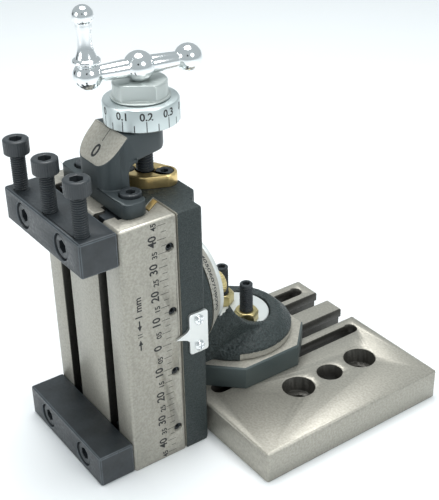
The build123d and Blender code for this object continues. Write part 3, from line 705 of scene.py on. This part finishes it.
class SLIDE_OT_knee(SlideOperator, bpy.types.Operator):
    """Rough cast knee with a machined band round its foot and a graduated cone"""

    bl_idname = "slide.knee"
    bl_label = "Knee"
    band_tall = 3.0 * MM
    smooth_passes = 7
    ring_inset = 0.3 * MM     # how far the casting draws back under the graduated ring
    ring_lap = 2 * MM         # how far the ring reaches inside its visible edge

    def build(self, detail, finish):
        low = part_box("knee_casting")[0]
        band_top = low.z + self.band_tall
        face_depth = low.y + 0.8 * MM
        source = bpy.data.objects.new("knee_source", bpy.data.meshes.new("knee_source"))
        bm = node_mesh("knee_casting")
        bm.to_mesh(source.data)
        bm.free()
        bpy.context.scene.collection.objects.link(source)
        remesh = source.modifiers.new("Cells", "REMESH")
        remesh.mode = "VOXEL"
        remesh.voxel_size = detail.cast_cell
        bpy.context.view_layer.update()
        shown = source.evaluated_get(bpy.context.evaluated_depsgraph_get())
        mesh = bpy.data.meshes.new_from_object(shown)
        bpy.data.objects.remove(source)
        bm = bmesh.new()
        bm.from_mesh(mesh)
        bpy.data.meshes.remove(mesh)
        axis_z = tilt_z()
        pocket = half_width("swivel_disc") + DISC_CLEAR
        small, seat = half_width("tilt_disc") + DISC_CLEAR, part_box("tilt_disc")[0].y
        large = half_width("knee_casting")

        def rough(point):
            """Whether a point is on the cast skin, away from bores and machined faces."""
            upright = hypot(point.x, point.y) > pocket + 0.3 * MM
            lying = hypot(point.x, point.z - axis_z) > small + 0.3 * MM
            return point.z > band_top and point.y > face_depth and (upright and lying)

        def under_ring(point):
            """Whether a point is on the cone that the graduated ring covers."""
            along = (point.y - low.y) / (seat - low.y)
            reach = hypot(point.x, point.z - axis_z)
            return -0.05 < along < 1.1 and abs(reach - large - along * (small - large)) < 0.4 * MM

        cast = [vert for vert in bm.verts if rough(vert.co)]
        for _ in range(self.smooth_passes):
            bmesh.ops.smooth_vert(
                bm, verts=cast, factor=0.6, use_axis_x=True, use_axis_y=True, use_axis_z=True
            )
        bm.normal_update()
        for vert in cast:
            lump = noise.noise(vert.co / (3.5 * MM)) + 0.5 * noise.noise(vert.co / (1.6 * MM))
            vert.co += vert.normal * detail.cast_wander * (lump - 0.35)
        for vert in bm.verts:
            if under_ring(vert.co):
                vert.co += self.ring_inset * to_tilt_axis(vert.co, axis_z)
        for face in bm.faces:
            centre = face.calc_center_median()
            foot = centre.z < band_top and centre.y > 0.45 * low.y and hypot(centre.x, centre.y) > pocket
            face.material_index = int(foot or centre.y < low.y + 0.1 * MM)
        materials = [finish["knee_paint"], finish["machined_cast"]]
        piece("cast_knee", bm, "knee_casting", materials)
        back = seat - low.y
        inner = small - self.ring_lap
        ring = turned(
            [(inner, 0, 0), (large, 0, 0), (small, back, 0), (inner, back, 0), (inner, 0, 0)],
            128,
            (0, 1, 0),
        )
        bmesh.ops.translate(ring, vec=(0, low.y, axis_z), verts=ring.verts)
        made = piece("graduated_ring", ring, "knee_casting", [finish["machined_cast"]], False)
        break_edges(made, 0.15 * MM)


class SLIDE_OT_saddle(SlideOperator, bpy.types.Operator):
    """Painted saddle with its machined dovetail"""

    bl_idname = "slide.saddle"
    bl_label = "Saddle"

    def build(self, detail, finish):
        table_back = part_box("work_table")[1].y

        def machined(face):
            return face.calc_center_median().y < table_back + 0.3 * MM

        materials = [finish["saddle_paint"], finish["machined_cast"]]
        dressed_copy("painted_saddle", "saddle_casting", 0.45 * MM, materials, machined, -1, 3)


class SLIDE_OT_ring_scale(SlideOperator, bpy.types.Operator):
    """Degree marks on the knee's cone, and the saddle's index line"""

    bl_idname = "slide.ring_scale"
    bl_label = "Ring scale"

    def build(self, detail, finish):
        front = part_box("knee_casting")[0].y
        large = half_width("knee_casting")
        small = half_width("tilt_disc") + DISC_CLEAR
        centre = Vector((0, front, tilt_z()))
        slope = Vector((small - large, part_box("tilt_disc")[0].y - front)).normalized()
        level = large - 2 * MM

        def surface(right, up, out):
            turn = right / level
            reach = large + slope.x * up + slope.y * out
            return centre + Vector((reach * sin(turn), slope.y * up - slope.x * out, reach * cos(turn)))

        def boss(right, up, out):
            turn = right / large
            reach = large + out
            return centre + Vector((reach * sin(turn), -0.3 * MM - up, reach * cos(turn)))

        bm = bmesh.new()
        proud = detail.figure_proud
        for degrees in range(-90, 91, 5):
            right = radians(degrees) * level
            labelled = degrees % 10 == 0
            tall = (1.7 if labelled else 1.1) * MM
            add_bar_mark(bm, right, 0.1 * MM, detail.tick_width, tall, proud, surface)
            if labelled:
                add_figure(bm, str(abs(degrees)), 2.4 * MM, right, 2.1 * MM, proud, surface)
        piece("ring_figures", bm, "knee_casting", [finish["figure_ink"]], False, False)
        index = bmesh.new()
        add_bar_mark(index, 0, 0.15 * MM, 1.5 * detail.tick_width, 1.3 * MM, proud, boss)
        piece("tilt_index", index, "saddle_casting", [finish["bright_edge"]], False, False)


class SLIDE_OT_tilt_clamp(SlideOperator, bpy.types.Operator):
    """Disc and cap screws that clamp the saddle to the knee"""

    bl_idname = "slide.tilt_clamp"
    bl_label = "Tilt clamp"
    rim_bevel = 2.6 * MM

    def build(self, detail, finish):
        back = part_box("tilt_disc")[1].y
        radius = half_width("tilt_disc")
        axis_z = tilt_z()
        bm = node_mesh("tilt_disc")
        for vert in bm.verts:
            reach = hypot(vert.co.x, vert.co.z - axis_z)
            if vert.co.y > back - 0.1 * MM and reach > 0.9 * radius:
                vert.co += self.rim_bevel * to_tilt_axis(vert.co, axis_z)
        made = piece("tilt_clamp_disc", bm, "tilt_disc", [finish["white_zinc"]])
        break_edges(made, detail.fine_break)
        zinc = finish["yellow_zinc"]
        screws("tilt_cap_screws", "tilt_bolts", SCREW_M5, HEAD_BACK, detail, zinc)


class SLIDE_OT_feed_nut(SlideOperator, bpy.types.Operator):
    """Brass feed nut and its two screws"""

    bl_idname = "slide.feed_nut"
    bl_label = "Feed nut"

    def build(self, detail, finish):
        dressed_copy("brass_feed_nut", "feed_nut", detail.edge_break, [finish["brass"]])
        black = finish["screw_black"]
        screws("feed_nut_cap_screws", "feed_nut_screws", SCREW_M3, HEAD_UP, detail, black)


class SLIDE_OT_pointer(SlideOperator, bpy.types.Operator):
    """Sheet steel pointer and its two cross-head screws"""

    bl_idname = "slide.pointer"
    bl_label = "Pointer"

    def build(self, detail, finish):
        self.plate(detail, finish)
        bm = bmesh.new()
        plate_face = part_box("pointer_plate")[1].x
        for low, high in solids_of("pointer_screws"):
            radius = (high.z - low.z) / 2
            tall = high.x - plate_face
            middle = (low + high) / 2
            recess = cross(0.58 * radius, 0.14 * radius)
            part = rings(
                [
                    (0, radius - 0.04 * MM),
                    (0.04 * MM, radius),
                    (0.35 * tall, radius),
                    (0.68 * tall, 0.90 * radius),
                    (0.90 * tall, 0.70 * radius),
                    (0.98 * tall, 0.66 * radius),
                    (0.96 * tall, recess),
                    (0.35 * tall, recess),
                ],
                48,
            )
            shank = rings([(low.x - plate_face, 0.5 * radius), (0.1 * tall, 0.5 * radius)], 24)
            add_part(part, shank)
            add_part(bm, part, Matrix.Translation((plate_face, middle.y, middle.z)) @ HEAD_RIGHT)
        crisp(piece("pointer_cross_screws", bm, "pointer_screws", [finish["bright_screw"]]))

    def plate(self, detail, finish):
        """A sheet with rounded corners that narrows to a sharp tip."""
        low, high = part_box("pointer_plate")
        body = high.y - 7.4 * MM
        middle = (low.z + high.z) / 2
        half, neck = (high.z - low.z) / 2, 2.7 * MM
        corner = 0.9 * MM
        side = [
            (low.y, 0),
            (body - 2.6 * MM, 0.34 * neck),
            (body - 1.0 * MM, 0.60 * neck),
            (body, neck),
            (body, half - corner),
            (body + 0.3 * corner, half - 0.3 * corner),
            (body + corner, half),
            (high.y - corner, half),
            (high.y - 0.3 * corner, half - 0.3 * corner),
            (high.y, half - corner),
        ]
        outline = side + [(y, -rise) for y, rise in reversed(side[1:])]
        bm = bmesh.new()
        face = bm.faces.new([bm.verts.new((low.x, y, middle + rise)) for y, rise in outline])
        grown = bmesh.ops.extrude_face_region(bm, geom=[face])["geom"]
        raised = [item for item in grown if isinstance(item, bmesh.types.BMVert)]
        bmesh.ops.translate(bm, vec=(high.x - low.x, 0, 0), verts=raised)
        made = piece("steel_pointer", bm, "pointer_plate", [finish["pointer_steel"]])
        break_edges(made, detail.fine_break)


class SLIDE_OT_work_table(SlideOperator, bpy.types.Operator):
    """Ground T-slotted work table"""

    bl_idname = "slide.work_table"
    bl_label = "Work table"

    def build(self, detail, finish):
        low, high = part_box("work_table")

        def inside(face):
            """Walls of the slots and holes, which take the painted shade."""
            centre = face.calc_center_median()
            across = high.x - abs(centre.x) > 0.9 * MM and centre.y - low.y > 0.9 * MM
            return across and abs(face.normal.z) < 0.5

        materials = [finish["table_iron"], finish["slot_iron"], finish["bright_edge"]]
        name = "ground_work_table"
        made = dressed_copy(name, "work_table", detail.edge_break, materials, inside, -1, 1)
        # The chamfer along the top right edge takes the lighter iron: a painted highlight.
        for face in made.data.polygons:
            if face.normal.z > 0.3 and face.normal.x > 0.3:
                face.material_index = 2


class SLIDE_OT_table_scale(SlideOperator, bpy.types.Operator):
    """Millimetre scale, numbers and arrows on the side of the table"""

    bl_idname = "slide.table_scale"
    bl_label = "Table scale"
    reach = 45                # millimetres each way from zero

    def build(self, detail, finish):
        low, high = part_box("work_table")
        middle = (low.z + high.z) / 2
        front = low.y
        proud = detail.figure_proud

        def surface(right, up, out):
            """Right runs up the table, and up runs towards its work face."""
            return Vector((high.x + out, front + up, middle + right))

        def upward(right, up, out):
            return Vector((high.x + out, front - up, middle + right))

        bm = bmesh.new()
        column = 16.8 * MM        # work face to the inner end of the ticks
        for half_steps in range(-2 * self.reach // 5, 2 * self.reach // 5 + 1):
            place = half_steps * 2.5 * MM
            tall = (3.2 if half_steps % 2 == 0 else 1.9) * MM
            add_bar_mark(bm, place, column - tall, detail.tick_width, tall, proud, surface)
        for value in range(-self.reach, self.reach + 1, 5):
            large = value % 10 == 0
            number = str(abs(value)) if large or abs(value) > 5 else "05"
            height = (2.9 if large else 1.9) * MM
            foot = (-13.0 if large else -13.2) * MM
            add_figure(bm, number, height, value * MM, foot, proud, upward)
        fine = bmesh.new()
        for value in range(-30, 31):
            tall = (2.2 if value % 5 == 0 else 1.5) * MM
            add_bar_mark(fine, value * MM, 1.6 * MM, 0.5 * detail.tick_width, tall, 0.6 * proud, surface)
        level = 5.3 * MM
        for side in (-1, 1):
            self.add_arrow(bm, (7.6 + 1.7 * side) * MM, side, level, detail, surface)
            line = (7.6 + 0.5 * side) * MM
            add_bar_mark(bm, line, level - 0.9 * MM, 1.6 * detail.tick_width, 1.8 * MM, proud, surface)
        add_figure(bm, "1 mm", 2.5 * MM, 18.0 * MM, -6.4 * MM, proud, upward)
        piece("table_figures", bm, "work_table", [finish["figure_ink"]], False, False)
        piece("table_fine_marks", fine, "work_table", [finish["machined_cast"]], False, False)

    def add_arrow(self, bm, tip, side, level, detail, surface):
        """An arrow along the table whose tip points to the middle."""
        proud = detail.figure_proud
        part = bmesh.new()
        bmesh.ops.create_circle(part, cap_ends=True, radius=1.3 * MM, segments=3)
        grown = bmesh.ops.extrude_face_region(part, geom=part.faces[:])["geom"]
        raised = {item for item in grown if isinstance(item, bmesh.types.BMVert)}
        for vert in part.verts:
            out = proud if vert in raised else -2 * proud
            vert.co = surface(tip + side * (1.3 * MM - vert.co.y), level + 0.75 * vert.co.x, out)
        add_part(bm, part)
        stem = bmesh.new()
        bmesh.ops.create_cube(stem, size=1)
        for vert in stem.verts:
            out = proud if vert.co.z > 0 else -2 * proud
            along = tip + side * (1.6 + 2.4 * (vert.co.x + 0.5)) * MM
            vert.co = surface(along, level + 0.5 * MM * vert.co.y, out)
        add_part(bm, stem)


class SLIDE_OT_gib(SlideOperator, bpy.types.Operator):
    """Gib strip and its adjusting screws"""

    bl_idname = "slide.gib"
    bl_label = "Gib"

    def build(self, detail, finish):
        dressed_copy("brass_gib", "gib_strip", detail.fine_break, [finish["brass"]])
        black = [finish["screw_black"]]
        dressed_copy("gib_set_screws", "gib_screws", 0.06 * MM, black)


class SLIDE_OT_feed_bracket(SlideOperator, bpy.types.Operator):
    """Painted feed bracket with a machined index face, and its screws"""

    bl_idname = "slide.feed_bracket"
    bl_label = "Feed bracket"

    def build(self, detail, finish):
        materials = [finish["bracket_paint"], finish["machined_cast"]]
        width = 0.4 * MM
        dressed_copy("painted_feed_bracket", "feed_bracket", width, materials, self.is_slope, -1, 3)
        black = finish["screw_black"]
        screws("bracket_cap_screws", "bracket_screws", SCREW_M4, HEAD_UP, detail, black)
        self.index_mark(detail, finish)

    @staticmethod
    def is_slope(face):
        return face.normal.y < -0.6 and face.normal.z > 0.6

    def index_mark(self, detail, finish):
        bm = node_mesh("feed_bracket")
        bmesh.ops.recalc_face_normals(bm, faces=bm.faces)
        slope = [face for face in bm.faces if self.is_slope(face)]
        points = [vert.co.copy() for face in slope for vert in face.verts]
        normal = slope[0].normal.copy()
        bm.free()
        top = max(points, key=lambda point: point.z)
        low = min(points, key=lambda point: point.z)
        up = Vector((0, top.y - low.y, top.z - low.z)).normalized()
        foot = Vector((0, low.y, low.z))
        span = (Vector((0, top.y, top.z)) - foot).length

        def surface(right, rise, out):
            return foot + Vector((right, 0, 0)) + up * rise + normal * out

        marks = bmesh.new()
        line = 0.38 * span
        proud = detail.figure_proud
        add_bar_mark(marks, 0, span - line, 1.5 * detail.tick_width, line, proud, surface)
        add_figure(marks, "0", 0.36 * span, 0, 0.16 * span, proud, surface)
        piece("index_figures", marks, "feed_bracket", [finish["figure_ink"]], False, False)


class SLIDE_OT_feed_screw(SlideOperator, bpy.types.Operator):
    """Feed screw with its thread"""

    bl_idname = "slide.feed_screw"
    bl_label = "Feed screw"

    def build(self, detail, finish):
        low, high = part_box("feed_screw")
        radius = (high.x - low.x) / 2
        middle = (low + high) / 2
        shoulder = self.shoulder(low, radius)
        bm = threaded_rod(radius, FEED_PITCH, low.z, shoulder, low.z + 0.5 * MM, shoulder)
        journal = radius - 0.5 * MM
        add_part(bm, rings([(shoulder - 1.0 * MM, radius), (shoulder, radius)], 36))
        add_part(bm, rings([(shoulder - 0.5 * MM, journal), (high.z, journal)], 36))
        bmesh.ops.transform(bm, matrix=Matrix.Translation((middle.x, middle.y, 0)), verts=bm.verts)
        crisp(piece("threaded_feed_screw", bm, "feed_screw", [finish["screw_black"]]))

    @staticmethod
    def shoulder(low, radius):
        """Top of the full-width part of the screw."""
        bm = node_mesh("feed_screw")
        axis = Vector((low.x + radius, low.y + radius))
        wide = [vert.co.z for vert in bm.verts if (vert.co.xy - axis).length > 0.95 * radius]
        bm.free()
        return max(wide)


class SLIDE_OT_dial(SlideOperator, bpy.types.Operator):
    """Graduated dial and the collar over it"""

    bl_idname = "slide.dial"
    bl_label = "Dial and collar"
    divisions = 20

    def build(self, detail, finish):
        low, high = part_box("feed_dial")
        radius = (high.x - low.x) / 2
        tall = high.z - low.z
        bore = 0.5 * radius
        axis = Vector(((low.x + high.x) / 2, (low.y + high.y) / 2, low.z))
        bm = turned(
            half_section(
                [
                    (bore, 0),
                    (radius - 0.3 * MM, 0),
                    (radius, 0.3 * MM),
                    (radius, tall - 0.8 * MM),
                    (radius - 0.25 * MM, tall - 0.25 * MM),
                    (radius - 0.8 * MM, tall),
                    (bore, tall),
                    (bore, 0),
                ]
            ),
            128,
        )
        bmesh.ops.transform(bm, matrix=Matrix.Translation(axis), verts=bm.verts)
        break_edges(piece("satin_dial", bm, "feed_dial", [finish["dial_satin"]]), 0.08 * MM)

        def surface(right, up, out):
            turn = detail.dial_turn - pi / 2 + right / radius
            reach = radius + out
            return axis + Vector((reach * cos(turn), reach * sin(turn), up))

        marks = bmesh.new()
        proud = detail.figure_proud
        for step in range(self.divisions):
            right = 2 * pi * radius * step / self.divisions
            labelled = step % 2 == 0
            tick = (0.45 if labelled else 0.30) * tall
            add_bar_mark(marks, right, 0.04 * tall, 1.8 * detail.tick_width, tick, proud, surface)
            if labelled:
                number = f"{step / self.divisions:.1f}" if step else "0"
                add_figure(marks, number, 0.32 * tall, right, 0.54 * tall, proud, surface)
        piece("dial_figures", marks, "feed_dial", [finish["figure_ink"]], False, False)
        steel = [finish["collar_steel"]]
        dressed_copy("turned_collar", "spindle_collar", detail.fine_break, steel)


class SLIDE_OT_crank(SlideOperator, bpy.types.Operator):
    """Ball crank with its turning grip"""

    bl_idname = "slide.crank"
    bl_label = "Ball crank"

    def build(self, detail, finish):
        self.build_arm(finish)
        self.build_grip(finish)
        node = frame["nodes"]["grip_pin"]
        node.data.materials.clear()
        node.data.materials.append(finish["bright_screw"])

    def build_arm(self, finish):
        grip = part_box("crank_grip")
        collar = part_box("spindle_collar")
        hub = Vector(((collar[0].x + collar[1].x) / 2, (collar[0].y + collar[1].y) / 2, 0))
        seat = collar[1].z
        hub.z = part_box("crank_arm")[1].z - CRANK_HUB
        ball = Vector(((grip[0].x + grip[1].x) / 2, (grip[0].y + grip[1].y) / 2, hub.z))
        reach = ball - hub
        arm = reach.length
        half = [(0, -arm - CRANK_BALL)]
        half += self.bead(-arm, CRANK_BALL, -88, 90 - self.half_angle(CRANK_TIP, CRANK_BALL))
        half += [(CRANK_TIP + 0.12 * MM, -arm + 1.04 * CRANK_BALL), (CRANK_ROOT, -1.06 * CRANK_HUB)]
        neck = 90 - self.half_angle(CRANK_ROOT, CRANK_HUB)
        half += self.bead(0, CRANK_HUB, -neck, neck)
        half += [(CRANK_ROOT, 1.06 * CRANK_HUB), (CRANK_TIP + 0.12 * MM, arm - 1.04 * CRANK_BALL)]
        half += self.bead(arm, CRANK_BALL, self.half_angle(CRANK_TIP, CRANK_BALL) - 90, 88)
        half.append((0, arm + CRANK_BALL))
        bm = turned(half_section(half), 64)
        lay = reach.to_track_quat("Z", "Y").to_matrix().to_4x4()
        bmesh.ops.transform(bm, matrix=Matrix.Translation(hub) @ lay, verts=bm.verts)
        self.cut(bm, hub, CRANK_HUB, Vector((0, 0, seat)), (0, 0, -1))
        self.cut(bm, ball, CRANK_BALL, Vector((0, 0, grip[0].z - 0.3 * MM)), (0, 0, 1))
        made = piece("ball_crank", bm, "crank_arm", [finish["polished_chrome"]])
        break_edges(made, 0.08 * MM)

    @staticmethod
    def half_angle(small, large):
        """Angle at a ball's centre between its arm and the arm's edge, in degrees."""
        return atan2(small, sqrt(large ** 2 - small ** 2)) * 180 / pi

    @staticmethod
    def bead(centre, radius, start, end):
        """Half section of a ball on the crank's axis."""
        return arc((0, centre), radius, start, end, 22)

    @staticmethod
    def cut(bm, ball, radius, level, outward):
        """Cuts a flat on one ball."""
        near = [face for face in bm.faces if (face.calc_center_median() - ball).length < 1.02 * radius]
        geometry = set(near)
        for face in near:
            geometry.update(face.edges)
            geometry.update(face.verts)
        bmesh.ops.bisect_plane(
            bm, geom=list(geometry), plane_co=level, plane_no=outward, clear_outer=True
        )
        bmesh.ops.holes_fill(bm, edges=bm.edges, sides=0)

    def build_grip(self, finish):
        low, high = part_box("crank_grip")
        axis = Vector(((low.x + high.x) / 2, (low.y + high.y) / 2, low.z))
        tall = high.z - low.z
        flange = (high.x - low.x) / 2
        bulb = 3.3 * MM
        bulb_z = tall - bulb
        waist = 2.2 * MM
        bore = 1.31 * MM
        bore_top = 5.3 * MM
        points = [(0, bore_top), (bore, bore_top), (bore, 0), (flange - 0.5 * MM, 0)]
        points += arc((flange - 0.75 * MM, 0.75 * MM), 0.75 * MM, -60, 70, 10)
        points += [
            (flange - 1.1 * MM, 1.75 * MM),
            (0.70 * flange, 2.5 * MM),
            (0.60 * flange, 3.6 * MM),
            (0.53 * flange, 5.2 * MM),
            (waist, 0.42 * tall),
            (waist + 0.02 * MM, 0.50 * tall),
            (waist + 0.16 * MM, bulb_z - 1.30 * bulb),
            (waist + 0.36 * MM, bulb_z - 0.96 * bulb),
            (waist + 0.30 * MM, bulb_z - 0.84 * bulb),
        ]
        points += arc((0, bulb_z), bulb, -40, 90, 20)
        bm = turned(half_section(points), 64)
        bmesh.ops.transform(bm, matrix=Matrix.Translation(axis), verts=bm.verts)
        made = piece("turned_grip", bm, "crank_grip", [finish["polished_chrome"]])
        break_edges(made, 0.06 * MM)


class SLIDE_OT_clamp_bars(SlideOperator, bpy.types.Operator):
    """Both clamp bars with their bolts and T-nuts"""

    bl_idname = "slide.clamp_bars"
    bl_label = "Clamp bars"

    def build(self, detail, finish):
        materials = [finish["bar_black"], finish["bar_edge"]]
        black = finish["screw_black"]
        for side in ("top", "bottom"):
            bar = f"{side}_bar"
            # The bevels of each bar take the lighter black oxide: a painted highlight along the edges.
            dressed_copy(f"milled_{bar}", bar, 0.2 * MM, materials, None, 1)
            screws(f"{bar}_cap_screws", f"{bar}_bolts", SCREW_M5, HEAD_FRONT, detail, black)
            dressed_copy(f"{bar}_slot_nuts", f"{bar}_t_nuts", detail.fine_break, [black])


class SLIDE_OT_clamp_screws(SlideOperator, bpy.types.Operator):
    """Three screws that press the work against the lower bar"""

    bl_idname = "slide.clamp_screws"
    bl_label = "Clamp screws"

    def build(self, detail, finish):
        black = finish["screw_black"]
        for side in ("left", "middle", "right"):
            node = f"clamp_screw_{side}"
            screws(f"threaded_{node}", node, SCREW_M5, HEAD_UP, detail, black)


class SLIDE_OT_stage(bpy.types.Operator):
    """Pale floor, soft light and the camera"""

    bl_idname = "slide.stage"
    bl_label = "Floor, light and camera"
    camera_place = (0.26038, -0.18918, 0.2382)
    bl_options = {"REGISTER", "UNDO"}

    def execute(self, context):
        stage = context.scene.slide_stage
        self.floor(stage)
        self.room(context.scene, stage)
        middle = (cad_low + cad_high) / 2
        self.lamp("overhead", middle + Vector((-0.1, 0.05, 0.75)), middle, 0.50, 5.5)
        self.lamp("side", middle + Vector((0.70, 0.10, 0.45)), middle, 0.35, 2.0)
        self.lamp("front", middle + Vector((-0.15, -0.80, 0.30)), middle, 0.40, 1.6)
        self.card("dark_card_front", middle + Vector((0.66, -0.48, 0.52)), middle, 0.10)
        self.card("dark_card_left", middle + Vector((-0.80, -0.50, 0.12)), middle, 0.14)
        self.camera(context.scene, stage)
        return {"FINISHED"}

    def floor(self, stage):
        bm = bmesh.new()
        bmesh.ops.create_grid(bm, x_segments=1, y_segments=1, size=4)
        level = cad_low.z - 0.02 * MM
        bmesh.ops.translate(bm, vec=(0, 0, level), verts=bm.verts)
        mesh = bpy.data.meshes.new("floor")
        bm.to_mesh(mesh)
        bm.free()
        paper = Finish("floor_paper", roughness=0.75)
        paper.tint(paper.grain(120 * MM, 3), stage.floor, 0.985, 1.0)
        mesh.materials.append(paper.material)
        floor = bpy.data.objects.new("floor", mesh)
        bpy.context.scene.collection.objects.link(floor)

    def room(self, scene, stage):
        world = bpy.data.worlds.new("room")
        world.use_nodes = True
        background = world.node_tree.nodes["Background"]
        background.inputs["Color"].default_value = [*stage.sky, 1]
        background.inputs["Strength"].default_value = stage.sky_strength
        scene.world = world
        scene.view_settings.view_transform = "Standard"

    def lamp(self, name, place, target, size, power):
        light = bpy.data.lights.new(name, "AREA")
        light.shape = "DISK"
        light.size = size
        light.energy = power
        lamp = bpy.data.objects.new(name, light)
        lamp.location = place
        lamp.rotation_mode = "QUATERNION"
        lamp.rotation_quaternion = (target - place).to_track_quat("-Z", "Y")
        bpy.context.scene.collection.objects.link(lamp)

    def card(self, name, place, target, half):
        """A dark card that only reflections see."""
        bm = bmesh.new()
        bmesh.ops.create_grid(bm, x_segments=1, y_segments=1, size=half)
        lay = (target - place).to_track_quat("Z", "Y").to_matrix().to_4x4()
        bmesh.ops.transform(bm, matrix=Matrix.Translation(place) @ lay, verts=bm.verts)
        mesh = bpy.data.meshes.new(name)
        bm.to_mesh(mesh)
        bm.free()
        felt = Finish(f"{name}_felt", roughness=0.9)
        felt.tint(felt.grain(90 * MM), (0.02, 0.022, 0.024), 0.8, 1.2)
        mesh.materials.append(felt.material)
        card = bpy.data.objects.new(name, mesh)
        card.visible_camera = False
        card.visible_diffuse = False
        card.visible_shadow = False
        bpy.context.scene.collection.objects.link(card)

    def camera(self, scene, stage):
        """Looks at the slide from its right front, as a person at the bench does."""
        back = Vector(
            (
                sin(stage.azimuth) * cos(stage.elevation),
                -cos(stage.azimuth) * cos(stage.elevation),
                sin(stage.elevation),
            )
        )
        right = Vector((cos(stage.azimuth), sin(stage.azimuth), 0))
        up = back.cross(right)
        turned_right = right * cos(stage.roll) + up * sin(stage.roll)
        turned_up = up * cos(stage.roll) - right * sin(stage.roll)
        data = bpy.data.cameras.new("camera")
        data.lens = stage.lens
        data.sensor_width = 36
        data.clip_start = 0.01
        data.clip_end = 20
        camera = bpy.data.objects.new("camera", data)
        matrix = Matrix((turned_right, turned_up, back)).transposed().to_4x4()
        matrix.translation = Vector(self.camera_place)
        camera.matrix_world = matrix
        scene.collection.objects.link(camera)
        scene.camera = camera


BUILDERS = (
    SLIDE_OT_base_plate,
    SLIDE_OT_swivel_block,
    SLIDE_OT_swivel_clamp,
    SLIDE_OT_knee,
    SLIDE_OT_saddle,
    SLIDE_OT_ring_scale,
    SLIDE_OT_tilt_clamp,
    SLIDE_OT_feed_nut,
    SLIDE_OT_pointer,
    SLIDE_OT_work_table,
    SLIDE_OT_table_scale,
    SLIDE_OT_gib,
    SLIDE_OT_feed_bracket,
    SLIDE_OT_feed_screw,
    SLIDE_OT_dial,
    SLIDE_OT_crank,
    SLIDE_OT_clamp_bars,
    SLIDE_OT_clamp_screws,
    SLIDE_OT_stage,
)


class SLIDE_PT_panel(bpy.types.Panel):
    """Sizes, colours and one button for each piece"""

    bl_idname = "SLIDE_PT_panel"
    bl_label = "Milling Slide"
    bl_space_type = "VIEW_3D"
    bl_region_type = "UI"
    bl_category = "Milling Slide"

    def draw(self, context):
        layout = self.layout
        for group in ("slide_finish", "slide_detail", "slide_stage"):
            box = layout.box()
            settings = getattr(context.scene, group)
            for name in settings.__annotations__:
                box.prop(settings, name)
        for builder in BUILDERS:
            layout.operator(builder.bl_idname)


GROUPS = (SlideFinish, SlideDetail, SlideStage)


def register():
    for item in (*GROUPS, *BUILDERS, SLIDE_PT_panel):
        bpy.utils.register_class(item)
    bpy.types.Scene.slide_finish = PointerProperty(type=SlideFinish)
    bpy.types.Scene.slide_detail = PointerProperty(type=SlideDetail)
    bpy.types.Scene.slide_stage = PointerProperty(type=SlideStage)


def unregister():
    del bpy.types.Scene.slide_stage
    del bpy.types.Scene.slide_detail
    del bpy.types.Scene.slide_finish
    for item in reversed((*GROUPS, *BUILDERS, SLIDE_PT_panel)):
        bpy.utils.unregister_class(item)


def main():
    register()
    bpy.ops.slide.base_plate()
    bpy.ops.slide.swivel_block()
    bpy.ops.slide.swivel_clamp()
    bpy.ops.slide.knee()
    bpy.ops.slide.saddle()
    bpy.ops.slide.ring_scale()
    bpy.ops.slide.tilt_clamp()
    bpy.ops.slide.feed_nut()
    bpy.ops.slide.pointer()
    bpy.ops.slide.work_table()
    bpy.ops.slide.table_scale()
    bpy.ops.slide.gib()
    bpy.ops.slide.feed_bracket()
    bpy.ops.slide.feed_screw()
    bpy.ops.slide.dial()
    bpy.ops.slide.crank()
    bpy.ops.slide.clamp_bars()
    bpy.ops.slide.clamp_screws()
    bpy.ops.slide.stage()


if __name__ == "__main__":
    main()
